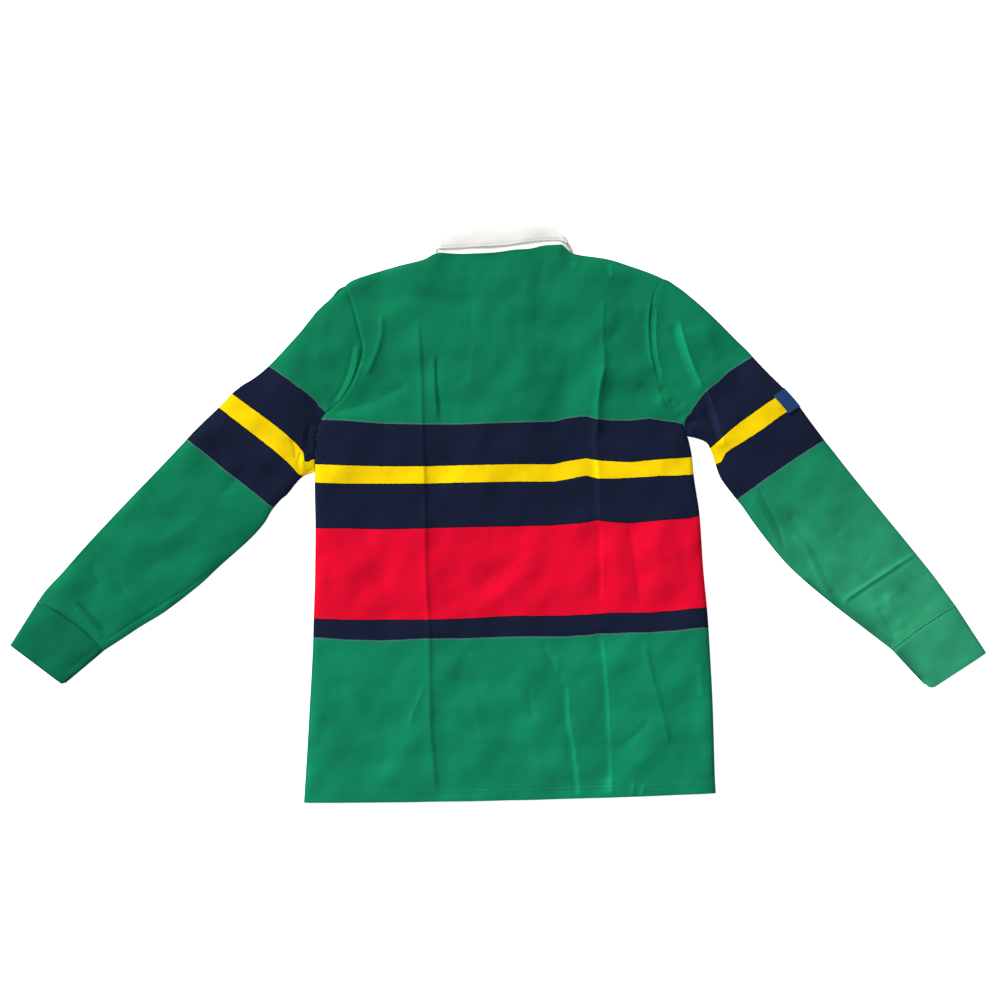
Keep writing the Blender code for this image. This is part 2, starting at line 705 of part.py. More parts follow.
def collar_fold(angle):
    """The middle of the collar's rolled upper edge, and the way that it faces."""
    x, y = collar_curve(angle, "fold_x"), collar_curve(angle, "fold_y")
    front_z = under(x, y) + JERSEY / 2
    z = STAND_FOLD_Z + side_share(angle) * (front_z - STAND_FOLD_Z)
    seam_x, seam_y = neck_seam(angle)
    facing = np.stack([x - seam_x, y - seam_y, 0 * z], axis=-1)
    facing = facing / np.linalg.norm(facing, axis=-1, keepdims=True)
    return np.stack([x, y, z], axis=-1), facing


def collar_stand():
    """The neckband of the collar, which stands on the neck seam."""
    angle = collar_angles()
    fold, facing = collar_fold(angle)
    top = fold - facing * (LEAF_STEP / 2 + SEAM_TO_LEAF)
    seam_x, seam_y = neck_seam(angle)
    front = side_share(angle)
    seam_z = upper(seam_x, seam_y) + JERSEY / 2
    seam_z = seam_z + front * (under(seam_x, seam_y) + JERSEY / 2 - seam_z)
    seam = np.stack([seam_x, seam_y, seam_z], axis=-1)
    rows = []
    for up in np.linspace(0, 1, 5):
        row = seam + up * (top - seam)
        front_z = under(row[:, 0], row[:, 1]) + JERSEY / 2
        row[:, 2] = np.where(front < 1, row[:, 2], front_z)
        rows.append(row)
    outer, inner = skin(np.array(rows), TWILL)
    wall("collar_stand", outer, inner, [material("collar_stand_twill", WHITE)])


def collar_leaf():
    """The leaf of the collar: it rolls over the stand's upper edge and lies down outside it."""
    angle = collar_angles()
    fold, facing = collar_fold(angle)
    radius = LEAF_STEP / 2
    rows = []
    for roll in np.radians([-90, -45, 0, 45, 90]):
        inset = radius * (1 - math.cos(roll))
        rows.append(fold - facing * inset + outward(angle) * radius * (1 + math.sin(roll)))
    start = rows[-1]
    edge_x, edge_y = collar_curve(angle, "edge_x"), collar_curve(angle, "edge_y")
    front = side_share(angle)
    for part in np.linspace(0, 1, 7)[1:]:
        x = start[:, 0] + part * (edge_x - start[:, 0])
        y = start[:, 1] + part * (edge_y - start[:, 1])
        rest = upper(edge_x, edge_y) + JERSEY + TWILL / 2 + LEAF_STEP
        back_z = start[:, 2] + part * (rest - start[:, 2])
        front_z = under(x, y) + JERSEY / 2 - LEAF_STEP
        front_z = start[:, 2] + np.minimum(part * 3, 1) * (front_z - start[:, 2])
        rows.append(np.stack([x, y, back_z + front * (front_z - back_z)], axis=-1))
    outer, inner = skin(np.array(rows), TWILL)
    wall("collar_leaf", outer, inner, [material("collar_leaf_twill", WHITE)])


def placket():
    """The strip that the front buttons on, under the front."""
    across = np.linspace(-PLACKET_HALF, PLACKET_HALF, 5) + NECK_X
    x, y = np.meshgrid(across, np.linspace(PLACKET_TOP_Y - PLACKET_LENGTH, PLACKET_TOP_Y, 9))
    top = under(x, y) - SEAM_GAP
    outer = np.stack([x, y, top], axis=2)
    inner = np.stack([x, y, top - TWILL], axis=2)
    wall("placket", outer, inner, [material("placket_twill", WHITE)])


def button(number, drop):
    """A button with a bevelled rim, face down on the ground."""
    x, y = NECK_X, PLACKET_TOP_Y - drop
    profile = (
        Point(BUTTON_RADIUS - BUTTON_BEVEL, 0),
        Point(BUTTON_RADIUS, BUTTON_RIM),
        Point(BUTTON_RADIUS, BUTTON_THICK),
    )
    turn = np.linspace(0, 2 * math.pi, BUTTON_SIDES, endpoint=False)
    rings = [np.stack([x + p.x * np.cos(turn), y + p.x * np.sin(turn), 0 * turn + p.y], 1) for p in profile]
    faces = []
    for ring in range(len(profile) - 1):
        for i in range(BUTTON_SIDES):
            j = (i + 1) % BUTTON_SIDES
            low, high = ring * BUTTON_SIDES, (ring + 1) * BUTTON_SIDES
            faces.append((low + i, low + j, high + j, high + i))
    faces.append(range(BUTTON_SIDES)[::-1])
    faces.append(range(high, high + BUTTON_SIDES))
    mesh = bpy.data.meshes.new(f"button_{number}")
    mesh.from_pydata((np.concatenate(rings) * MM).tolist(), [], [tuple(face) for face in faces])
    mesh.materials.append(material(f"button_{number}_rubber", WHITE, roughness=0.6))
    put_in_scene(mesh)


def sleeve_label():
    """The woven label, folded over the outer edge of the right sleeve and sewn down."""
    along = np.linspace(LABEL_ALONG[0], LABEL_ALONG[1], 6)
    x, y = sleeve_plan("right", RIGHT_SLEEVE, (0, 1), along)
    edge = np.stack([x[:, 0], y[:, 0]], axis=1)
    inwards = np.stack([x[:, 1], y[:, 1]], axis=1) - edge
    inwards = inwards / np.linalg.norm(inwards, axis=1, keepdims=True)
    half = SEAM_GAP + WOVEN_LABEL / 2
    radius = FOLD_OUTSIDE + half

    def at(inset):
        return (edge + inset * inwards).T

    columns = []
    reaches = np.linspace(LABEL_REACH, FOLD_OUTSIDE, 6)
    for reach in reaches:
        x, y = at(reach)
        columns.append(np.stack([x, y, upper(x, y) + JERSEY + half], axis=1))
    middle = under(*at(0)) + FOLD_OUTSIDE
    above = columns[-1][:, 2] - middle
    for turn in np.radians([60, 30, 0, -30, -60]):
        x, y = at(FOLD_OUTSIDE - radius * math.cos(turn))
        far = above if turn > 0 else radius
        columns.append(np.stack([x, y, middle + far * math.sin(turn)], axis=1))
    for reach in reaches[::-1]:
        x, y = at(reach)
        columns.append(np.stack([x, y, under(x, y) - half], axis=1))
    outer, inner = skin(np.stack(columns, axis=1), WOVEN_LABEL)
    wall("sleeve_label", outer, inner, [material("sleeve_label_weave", LABEL_BLUE)])


def centre_on_ground(pieces):
    """Hangs the pieces on an empty, so that the origin is under the middle of the shirt."""
    corners = np.array([v.co for piece in pieces for v in piece.data.vertices])
    low, high = corners.min(axis=0), corners.max(axis=0)
    shirt = bpy.data.objects.new("shirt", None)
    bpy.context.scene.collection.objects.link(shirt)
    shirt.location = (-(low[0] + high[0]) / 2, -(low[1] + high[1]) / 2, -low[2])
    for piece in pieces:
        piece.parent = shirt


def build():
    for old in list(bpy.data.objects):
        bpy.data.objects.remove(old, do_unlink=True)
    body_panel("back", 1, back_top, STEP_ALONG_BACK, BACK_COLUMNS)
    body_panel("front", -1, front_top, STEP_ALONG_FRONT, FRONT_COLUMNS)
    sleeve("left", LEFT_SLEEVE)
    sleeve("right", RIGHT_SLEEVE)
    cuff("left", LEFT_SLEEVE, LEFT_CUFF_END)
    cuff("right", RIGHT_SLEEVE, RIGHT_CUFF_END)
    collar_stand()
    collar_leaf()
    placket()
    for number, drop in enumerate(BUTTON_DROPS, start=1):
        button(number, drop)
    sleeve_label()
    centre_on_ground(list(bpy.data.objects))


build()
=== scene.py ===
import math
from collections import namedtuple

import bpy
import numpy as np
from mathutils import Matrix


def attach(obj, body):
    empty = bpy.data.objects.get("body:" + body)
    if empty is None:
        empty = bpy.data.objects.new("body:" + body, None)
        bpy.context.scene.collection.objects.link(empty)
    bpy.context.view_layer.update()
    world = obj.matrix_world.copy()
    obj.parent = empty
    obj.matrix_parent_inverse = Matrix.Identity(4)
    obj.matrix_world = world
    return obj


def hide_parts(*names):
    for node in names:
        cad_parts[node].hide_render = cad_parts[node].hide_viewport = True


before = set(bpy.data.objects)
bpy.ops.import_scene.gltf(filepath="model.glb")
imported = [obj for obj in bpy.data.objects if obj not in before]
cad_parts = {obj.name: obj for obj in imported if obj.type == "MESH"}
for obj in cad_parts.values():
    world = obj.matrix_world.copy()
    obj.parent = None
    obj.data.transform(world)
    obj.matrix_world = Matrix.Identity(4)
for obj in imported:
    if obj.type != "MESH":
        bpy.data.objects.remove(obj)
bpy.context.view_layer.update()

# The picture: the camera hangs straight over the shirt, with the collar at the top, and takes in
# 1.36 metres of the surface that it lies on.
PICTURE_WIDTH = 1.36
PICTURE_MIDDLE = (0.0016, 0.0154)
CAMERA_HEIGHT = 3.0
lens = bpy.data.cameras.new("camera")
lens.lens = 80.0
lens.sensor_width = lens.lens * PICTURE_WIDTH / (CAMERA_HEIGHT - 0.005)
camera = bpy.data.objects.new("camera", lens)
camera.location = (*PICTURE_MIDDLE, CAMERA_HEIGHT)
bpy.context.scene.collection.objects.link(camera)
bpy.context.scene.camera = camera

# The body: a back and a front panel of heavy cotton jersey, about 300 g a square metre, knitted with
# its bands in it and sewn together at the sides and shoulders. It lies on its front, so the back
# shows. Sizes are in millimetres, x from the shirt's middle and y up from its hem.
MM = 0.001
MIDDLE_X, MIDDLE_Y = 12.5, -392.5745
JERSEY = 1.2
SEAM_GAP = 0.3
FOLD_INSIDE = 0.5
FOLD_OUTSIDE = FOLD_INSIDE + JERSEY
AIR = 2.6
EDGE_ROLL = 8.0
HEM_DEPTH = 18.0
HEM_EXTRA = 0.4
UNDERARM = 514
SHOULDER = 703


def rows_of(kind, *rows):
    """Rows of numbers whose columns have names."""
    return [kind(*row) for row in rows]


# height is measured up the cloth, and sag is how far a section's middle lies below its two ends
Section = namedtuple("Section", "height left_x left_y right_x right_y sag")
BODY = rows_of(
    Section,
    (0, -278, -4, 283, 9, 3), (20, -276.6, 16, 281.8, 29, 3), (117, -270.8, 113, 279, 122, 4),
    (221, -265.4, 219, 273, 234, 5), (248, -264.7, 246, 271, 261, 5), (300, -263, 298, 266, 313, 5),
    (373, -262.2, 371, 261, 386, 6), (432, -263.2, 431, 253, 441, 5), (458, -263, 457, 250.6, 466, 5),
    (UNDERARM, -256, 515, 241, 505, -1), (545, -226, 545, 215, 541, -2), (581, -206, 582, 204, 578, 0),
    (613, -198, 613, 196.5, 613, 0), (645, -204, 642, 195, 650, 0), (675, -212, 672, 199, 685, 0),
    (SHOULDER, -223, 699, 212, 709, 0),
)
NECK_X = -5.0
NECK_HALF = 90.5
NECK_SIDE_Y = 744.0
FRONT_NECK_DEPTH = 88.0
Point = namedtuple("Point", "x y")
BACK_TOP = rows_of(
    Point,
    (-223, 699), (-212, 706.7), (-190, 714.7), (-150, 726.3), (-115, 735.2), (-95.5, 744), (-60, 742.6),
    (-26, 744), (9.5, 748), (28.6, 749.6), (53, 754.2), (72, 755), (85.5, 744), (136, 735.6),
    (170, 725.2), (195, 716.3), (212, 709),
)

# Where each band of the back meets the next, at places across it. The cloth's own folds and pulls
# make these lines wave.
Lines = namedtuple("Lines", "x hem green navy red low_navy yellow high_navy")
BAND_HEIGHTS = (0, 221, 248, 373, 432, 458, 514)
BAND_LINES = rows_of(
    Lines,
    (-258.4, -5.4, 220.3, 246.2, 369.9, 431.1, 457, 518.2),
    (-223, -4.1, 217.6, 244.8, 369.9, 429.8, 455.6, 516.8),
    (-171.4, -2.7, 216.2, 244.8, 368.6, 429.8, 454.2, 512.7),
    (-114.2, -2.7, 219, 244.8, 369.9, 429.8, 454.2, 511.4),
    (-65.3, -2.7, 219, 246.2, 371.3, 431.1, 455.6, 511.4),
    (9.5, -1.4, 221.7, 250.2, 372.6, 432.5, 457, 514.1),
    (62.6, 0, 221.7, 250.2, 374, 432.5, 457, 515.4), (78.9, 0, 221.7, 250.2, 375.4, 435.2, 461, 519.5),
    (97.9, 1.4, 223, 251.6, 376.7, 439.3, 463.8, 522.2),
    (106.1, 1.4, 223, 251.6, 378.1, 440.6, 465.1, 522.2),
    (122.4, 1.4, 225.8, 253, 380.8, 436.6, 462.4, 518.2),
    (141.4, 2.7, 225.8, 254.3, 378.1, 436.6, 461, 516.8),
    (165.9, 4.1, 227.1, 254.3, 376.7, 437.9, 459.7, 516.8),
    (193.1, 5.4, 227.1, 254.3, 379.4, 439.3, 462.4, 519.5),
    (206.7, 5.4, 228.5, 255.7, 380.8, 440.6, 463.8, 516.8),
    (228.5, 6.8, 229.8, 257, 382.2, 440.6, 465.1, 514.1),
    (247.5, 8.2, 232.6, 259.8, 383.5, 442, 466.5, 510),
    (266.6, 10.9, 233.9, 261.1, 389, 442, 467.8, 503.2),
)

# The folds, each a soft ridge (rise above 0) or trough along a path. width is how far its flanks
# run, wider by skew on the path's right-hand side and narrower on the left. crest is how round its
# top is, and taper how far in from its ends it takes to come up. The last column is the light
# painted along it: a painted highlight above 0, and painted shade below 0.
Fold = namedtuple("Fold", "rise width skew crest taper path rubbed", defaults=(0,))
FOLDS = rows_of(
    Fold,
    # The left of the two creases from folding the shirt in three, and its branches
    (1.4, 5, -0.6, 1, 30, ((-97, 0), (-102, 54), (-106, 110), (-107, 218), (-112, 316), (-113, 408),
        (-116, 490), (-118, 575), (-121, 626), (-124, 656))),
    (0.9, 20, -0.3, 4, 30, ((-97, 0), (-102, 54), (-106, 110), (-107, 218), (-112, 316), (-113, 408))),
    (1, 4, 0.2, 1, 12, ((-135, 99), (-122, 136), (-110, 162))),
    (1.4, 4, -0.5, 0.8, 22, ((-95, 510), (-97, 532), (-100, 574), (-101, 612))),
    (-1, 4, 0.3, 0.8, 20, ((-90, 510), (-92, 532), (-96, 574), (-97, 608))),
    (-0.8, 4, 0, 1, 10, ((-76, 488), (-86, 500), (-95, 513))),
    (0.9, 6, 0, 2, 14, ((-54, 555), (-49, 598), (-45, 628))),
    # The pulls from the left shoulder and armhole
    (1.9, 3.5, 0, 0.8, 12, ((-194, 575), (-186, 592), (-177, 615), (-172, 636), (-171, 663))),
    (-1.1, 3, 0, 0.8, 14, ((-245, 530), (-222, 571), (-214, 596), (-210, 623))),
    (1.4, 4, 0, 0.8, 14, ((-234, 533), (-215, 566), (-206, 596), (-204, 622))),
    (-3, 17, -0.6, 2, 20, ((-247, 526), (-209, 534), (-180, 546), (-131, 568))),
    (1.4, 16, 0, 8, 20, ((-235, 510), (-181, 528), (-126, 541))),
    (-2, 13, 0, 6, 30, ((-208, 702), (-151, 686), (-86, 677), (-35, 669))),
    (1.1, 10, 0, 5, 24, ((-147, 707), (-92, 695), (-24, 691))),
    (-1.5, 8, 0, 4, 16, ((-102, 736), (-76, 728), (-38, 713))),
    (1.5, 12, 0.3, 5, 25, ((-259, 584), (-253, 626), (-245, 667))),
    (-1.1, 3, 0, 0.6, 8, ((-91, 740), (-80, 732), (-68, 725))),
    (-1.2, 12, 0, 6, 20, ((-190, 626), (-174, 592), (-154, 564))),
    # The soft drapes of the upper back
    (1.1, 8, 0, 4, 25, ((4, 609), (-3, 653), (0, 680))),
    (1, 9, 0, 4, 25, ((-19, 574), (-15, 626), (-10, 668))),
    (-1, 10, 0, 6, 20, ((-52, 626), (-45, 680), (-31, 721))),
    (0.9, 8, 0, 4, 16, ((19, 680), (27, 707), (30, 732))),
    (-0.9, 7, 0, 4, 16, ((41, 687), (45, 714), (48, 737))),
    (-1.6, 4, 0, 1, 8, ((91, 726), (82, 737), (71, 749))),
    (-1.1, 9, 0, 5, 16, ((112, 724), (91, 732), (71, 732))),
    # The right crease, with painted highlights along its ridges
    (1.1, 2.5, 0, 0.6, 6, ((142, 707), (139, 732)), 0.3),
    (3.8, 17, -0.5, 2, 26, ((121, 490), (124, 544), (129, 585), (132, 626))),
    (-1.2, 11, 0, 7, 25, ((80, 511), (78, 571), (86, 623))),
    (1, 3, -0.3, 0.7, 14, ((122, 490), (121, 524), (124, 558), (133, 596)), 0.2),
    (1.1, 3, 0, 0.7, 20, ((125, 367), (122, 449), (118, 490), (117, 517)), 0.45),
    (-2, 17, -0.3, 2, 30, ((126, 256), (128, 316), (125, 375), (122, 422))),
    (0.9, 2.2, 0, 0.5, 14, ((129, 267), (129, 316), (128, 375)), 0.3),
    (-2, 17, -0.3, 2, 30, ((139, -8), (136, 91), (131, 166), (125, 238))),
    (1.1, 2.2, 0.2, 0.5, 14, ((141, 0), (138, 91), (134, 166), (127, 228)), 0.35),
    (0.9, 4, 0, 0.8, 20, ((133, 598), (129, 615), (129, 653), (131, 686))),
    (0.8, 7, 0, 4, 12, ((133, 632), (139, 650), (152, 665), (173, 670))),
    (-0.8, 7, 0, 4, 12, ((141, 619), (147, 639), (160, 653), (180, 657))),
    # The pulls from the right shoulder and armhole, and down the top of the sleeve, with painted
    # highlights along some of their ridges
    (1.1, 2.2, 0, 0.6, 12, ((200, 582), (192, 612), (190, 646), (194, 680)), 0.35),
    (1.1, 2.2, 0, 0.6, 12, ((212, 571), (204, 602), (201, 632), (202, 673)), 0.35),
    (3.2, 6, -0.4, 1, 18, ((269, 555), (258, 575), (245, 609), (231, 656)), 0.55),
    (-2.2, 9, 0.4, 3, 16, ((261, 555), (245, 582), (231, 617), (222, 650))),
    (1.5, 3.5, 0, 0.8, 16, ((295, 479), (287, 507), (277, 540), (268, 566)), 0.7),
    (-1.6, 6, 0.4, 1, 12, ((286, 481), (276, 510), (268, 537))),
    (1.6, 9, 0, 4, 16, ((291, 596), (272, 626), (260, 650))),
    (-1.1, 7, 0, 4, 14, ((277, 590), (261, 617), (250, 639))),
    (-1.4, 5, 0, 1.5, 10, ((207, 539), (190, 554), (174, 566))),
    (-1.5, 4, 0, 1, 8, ((239, 514), (228, 530), (218, 547))),
    (-1.5, 5, 0, 1.5, 8, ((239, 533), (223, 552), (207, 564))),
    (1.1, 4, 0, 1, 8, ((235, 522), (220, 540), (201, 549))),
    (-1.5, 3, 0, 0.8, 8, ((269, 511), (256, 517), (242, 511))),
    (1.2, 3, 0, 0.8, 8, ((267, 500), (254, 507), (245, 503))),
    # The soft drapes across the red band, and those of the lower back, with painted highlights along some
    # ridges
    (-1.5, 9, 0, 7, 30, ((-92, 258), (-45, 286), (8, 326), (37, 354))),
    (1.4, 9, 0, 7, 30, ((-63, 250), (-14, 276), (30, 313), (50, 332))),
    (-1, 8, 0, 6, 30, ((16, 275), (50, 299), (71, 318))),
    (-1.8, 9, 0.3, 2, 30, ((181, 256), (174, 313), (166, 370), (163, 392))),
    (1.5, 12, 0, 6, 30, ((155, 258), (150, 313), (147, 381))),
    (1.1, 10, 0, 6, 30, ((201, 264), (204, 321), (207, 408))),
    (-1, 9, 0, 6, 25, ((248, 272), (242, 326), (234, 381))),
    (1.2, 4, -0.4, 0.8, 16, ((220, 72), (208, 125), (192, 185), (186, 218))),
    (-1.5, 7, 0.5, 2, 14, ((143, 65), (166, 82), (196, 112))),
    (1.5, 11, 0, 7, 20, ((155, 33), (180, 52), (207, 79))),
    (-1.5, 5, -0.6, 0.6, 16, ((95, 1), (87, 72), (80, 110), (78, 163))),
    (0.9, 2.2, 0, 0.5, 12, ((97, 1), (89, 72), (82, 110), (80, 160)), 0.3),
    (-1.4, 4, 0, 0.8, 14, ((79, 159), (68, 173), (44, 218))),
    (1, 4, 0, 1, 6, ((63, 163), (68, 180), (65, 196))),
    (-1, 4, 0, 1, 8, ((35, 106), (31, 129), (26, 152))),
    (0.9, 6, 0, 2, 12, ((-35, 75), (-41, 109), (-49, 136))),
    (-1.1, 9, 0, 5, 14, ((-76, 150), (-63, 184), (-46, 211))),
    (-1.9, 13, 0, 8, 30, ((-147, 41), (-185, 65), (-215, 106), (-241, 136))),
    (1.5, 12, 0, 8, 20, ((-267, 71), (-258, 122), (-253, 163))),
    (1.1, 12, 0, 8, 25, ((-185, 87), (-208, 136), (-222, 163))),
    (1, 11, 0, 7, 25, ((-63, 27), (-72, 88), (-68, 150))),
    (-0.9, 12, 0, 8, 25, ((-11, 41), (5, 109), (16, 163))),
    (1.2, 9, 0, 6, 20, ((44, 27), (38, 75), (33, 95))),
    (1.1, 4, 0, 1, 10, ((264, 136), (262, 163), (261, 190)), 0.2),
    (-1.2, 14, 0, 8, 20, ((261, 54), (248, 109), (242, 163))),
    (1, 2.5, 0, 0.6, 6, ((169, 4), (171, 27)), 0.2),
    (1, 2.5, 0, 0.6, 6, ((182, 4), (185, 23)), 0.2),
    (1.5, 5, 0, 1, 8, ((137, 4), (137, 34)), 0.3),
    # The left sleeve: long drags, short dents, the underarm seam and the bunching under the arm, with
    # painted shade along one trough
    (-1, 6, 0, 4, 26, ((-403, 401), (-375, 430), (-340, 469))),
    (0.9, 8, 0, 6, 26, ((-490, 337), (-446, 367), (-405, 397))),
    (-0.8, 8, 0, 6, 26, ((-500, 306), (-453, 337), (-412, 367))),
    (-1.1, 5, 0, 3, 14, ((-554, 283), (-560, 303), (-568, 329))),
    (-1.1, 6, 0, 3, 14, ((-517, 273), (-528, 292), (-541, 318))),
    (-1.4, 2.6, 0, 0.8, 12, ((-588, 271), (-566, 249), (-545, 226)), -0.3),
    (1.1, 3, 0, 0.8, 6, ((-589, 261), (-570, 243), (-551, 220))),
    (-1, 1.8, 0, 0.4, 12, ((-548, 216), (-487, 256), (-423, 296), (-341, 362))),
    (-0.8, 1.6, 0, 0.4, 8, ((-605, 170), (-582, 190), (-556, 209))),
    (-1.4, 2, 0, 0.5, 5, ((-282, 473), (-285, 458), (-281, 443))),
    (1, 3, 0, 0.6, 5, ((-276, 468), (-279, 457), (-276, 446))),
    (-1.8, 4, 0, 0.8, 8, ((-271, 473), (-272, 492), (-267, 514))),
    (1.1, 5, 0, 0.8, 8, ((-280, 476), (-279, 495), (-275, 511))),
    (-1.1, 3, 0, 0.8, 8, ((-288, 460), (-290, 480), (-295, 495))),
    # The right sleeve: the creases at the elbow and across the forearm, with painted highlights along some
    # ridges, and painted shade along its underside
    (-1.2, 3, 0, 0.8, 14, ((378, 337), (366, 374), (339, 426))),
    (1.2, 4, 0, 1, 14, ((370, 336), (356, 371), (330, 419))),
    (-1.1, 4, 0, 1, 14, ((454, 268), (436, 294), (418, 336), (393, 370), (382, 394))),
    (1.1, 5, 0, 1, 14, ((445, 267), (427, 291), (409, 332), (385, 366)), 0.15),
    (1.4, 3, 0.3, 0.8, 10, ((453, 269), (503, 303), (556, 337)), 0.25),
    (-0.9, 2.5, 0, 0.7, 10, ((457, 265), (507, 299), (559, 333))),
    (-1.5, 3.5, 0, 1, 8, ((460, 267), (449, 276), (435, 286))),
    (-1, 4, 0, 1, 8, ((528, 218), (515, 242), (503, 264))),
    (1, 6, 0, 3, 10, ((540, 234), (524, 258), (514, 283)), 0.15),
    (-0.8, 6, 0, 3, 10, ((574, 256), (554, 275), (533, 291))),
    (0.9, 6, 0, 3, 10, ((490, 326), (465, 347), (449, 367))),
    (1, 7, 0, 4, 20, ((431, 264), (384, 310), (350, 354), (326, 401))),
    (-1, 3, 0, 0.6, 8, ((286, 449), (277, 469), (264, 486))),
    # Painted shade along the forearm's underside, with no rise
    (0, 7, 0, 2, 14, ((397, 302), (454, 262), (492, 234), (528, 209)), -0.3),
    (0, 8, 0, 2, 8, ((528, 207), (544, 185), (563, 158)), -0.45),
)

# The creases of the lower layer, out of sight, each lifted a little off the ground
CREASES_BENEATH = rows_of(
    Fold,
    # The front: the creases from folding the shirt in three, the pulls to the armholes and the drapes
    (1.5, 5, 0.3, 1, 30, ((-112, 2), (-117, 120), (-116, 262), (-121, 388), (-126, 470))),
    (1.3, 6, -0.3, 1, 30, ((133, 2), (130, 94), (134, 210), (131, 345), (128, 441))),
    (1.2, 7, 0, 2, 22, ((-222, 546), (-188, 566), (-142, 601))),
    (0.9, 6, 0, 2, 16, ((-206, 516), (-170, 528), (-141, 533))),
    (1.4, 8, 0, 3, 24, ((209, 541), (176, 562), (136, 604), (118, 640))),
    (1, 6, 0, 2, 14, ((214, 503), (181, 498), (152, 505))),
    (1, 7, 0, 3, 18, ((-181, 655), (-160, 676), (-133, 700))),
    (1.1, 7, 0, 3, 18, ((160, 694), (147, 668), (143, 640))),
    (1.6, 9, 0, 4, 34, ((-71, 82), (-42, 146), (-30, 224), (-36, 291))),
    (1, 7, 0, 3, 24, ((-48, 311), (-60, 352), (-64, 405))),
    (1.4, 10, 0, 4, 34, ((43, 51), (66, 127), (71, 190))),
    (1.2, 8, 0, 3, 26, ((58, 250), (82, 302), (90, 371), (79, 420))),
    (1.3, 9, 0, 4, 34, ((-190, 118), (-205, 191), (-221, 318))),
    (0.9, 6, 0, 2, 14, ((-232, 41), (-214, 66), (-203, 104))),
    (1.5, 9, 0, 4, 30, ((187, 84), (201, 175), (212, 301), (206, 352))),
    (0.9, 6, 0, 2, 14, ((238, 398), (222, 421), (191, 434))),
    # The left sleeve and its cuff
    (1.4, 6, 0, 2, 24, ((-506, 331), (-458, 357), (-402, 404), (-371, 440))),
    (1, 5, 0, 2, 16, ((-567, 246), (-529, 268), (-481, 303))),
    (1.2, 5, 0, 1.5, 14, ((-441, 331), (-418, 349), (-396, 377))),
    (0.9, 5, 0, 1.5, 12, ((-351, 494), (-327, 512), (-306, 541))),
    (1.1, 4, 0, 1, 8, ((-300, 448), (-312, 466), (-318, 491))),
    # The right sleeve
    (1.5, 6, 0, 2, 24, ((352, 452), (391, 420), (429, 366), (450, 321))),
    (1.1, 5, 0, 1.5, 16, ((400, 348), (431, 340), (472, 352))),
    (1.3, 6, 0, 2, 18, ((489, 320), (518, 284), (536, 248))),
    (0.9, 4, 0, 1, 10, ((540, 281), (560, 272), (585, 277))),
    (1, 5, 0, 1.5, 12, ((301, 512), (320, 489), (331, 461))),
)

# The sleeves are cut from the same cloth. along is measured down the outer fold, and bow is how far
# a section's middle is pushed back towards the shoulder.
Arm = namedtuple("Arm", "along outer_x outer_y inner_x inner_y bow")
LEFT_SLEEVE = rows_of(
    Arm,
    (58, -264, 658, -257.5, 512.5, 26), (152, -325, 590, -258.3, 508, 3),
    (217, -373, 553, -264, 464, 2), (230, -382.5, 543.5, -265, 447, 2),
    (243, -392.5, 533.5, -279, 440, 2), (304, -437.5, 488.5, -318, 398.5, 3),
    (365, -481, 443, -345, 364, 3), (427, -525, 397, -405, 308, 2), (513, -585, 332, -477, 252, 3),
    (596, -639, 268, -551, 205, 6),
)
RIGHT_SLEEVE = rows_of(
    Arm,
    (50, 252.5, 681, 242, 502, 24), (152, 333, 601, 244.2, 494.5, 2), (217, 377, 556, 269.3, 483, 1),
    (243, 394, 536, 281, 461, 1), (270, 410, 514, 288.5, 440, 1), (304, 431, 486, 307, 413, 1),
    (365, 466, 441, 345, 364, 2), (427, 502, 397, 386, 318, 2), (513, 556, 331, 452, 261, 1),
    (596, 609, 263, 524, 205, 2),
)

# How far the sleeves' two folded edges swing out (or in, below 0) of the smooth line between sections
Swing = namedtuple("Swing", "along outer inner")
LEFT_SWINGS = rows_of(
    Swing,
    (0, 0, 0), (9, 2.5, 0), (25, 1.2, 0), (50, 2.1, 0), (66, 0.8, 0), (85, 0, 0), (119, 0.9, 0),
    (138, 1, 0), (181, 0.3, 0), (203, 1.8, 0), (225, 1.9, 0), (243, 1.3, 0), (275, 1.9, 2.6),
    (290, 2, 0.4), (304, 1.4, 0), (340, 1, 2.5), (365, 1.1, 2.1), (410, 1.2, 0.7), (445, 1.3, 2.6),
    (500, 1.4, 2.7), (540, 1.6, 0.9), (578, 3.6, 2), (596, 2.2, 2.2), (669, 0.4, 1),
)
RIGHT_SWINGS = rows_of(
    Swing,
    (0, 0, 0), (7, 1.7, 0), (30, 1.2, 0), (48, 0.2, 0), (120, 1, 0), (140, 2, 0), (152, 1.5, -0.3),
    (181, 0.5, -2.6), (205, 1, -3.3), (235, 1.5, -0.8), (250, 1.6, 0.4), (304, 1.9, -0.5),
    (322, 2.3, -1.2), (345, 2.3, 0), (380, 2.3, 1.5), (427, 2, 2.8), (500, 2, 2.4), (550, 2.2, 1.6),
    (596, 0.9, 1.6), (669, 0, 0.4),
)
SWINGS = {"left": LEFT_SWINGS, "right": RIGHT_SWINGS}
BESIDE_BODY = 228

# What lies under the front and lifts it: the placket, the collar's front and the sleeve's label
PLACKET_HALF = 17.0
PLACKET_TOP_Y = 654.0
PLACKET_LENGTH = 165.0
PLACKET_LIFT = 3.8
COLLAR_LIFT = 2.6
COLLAR_SPREAD = Point(132, 112)
COLLAR_MIDDLE_Y = 692.0
LABEL_MIDDLE = Point(386, 546)
LABEL_LIFT = 1.4


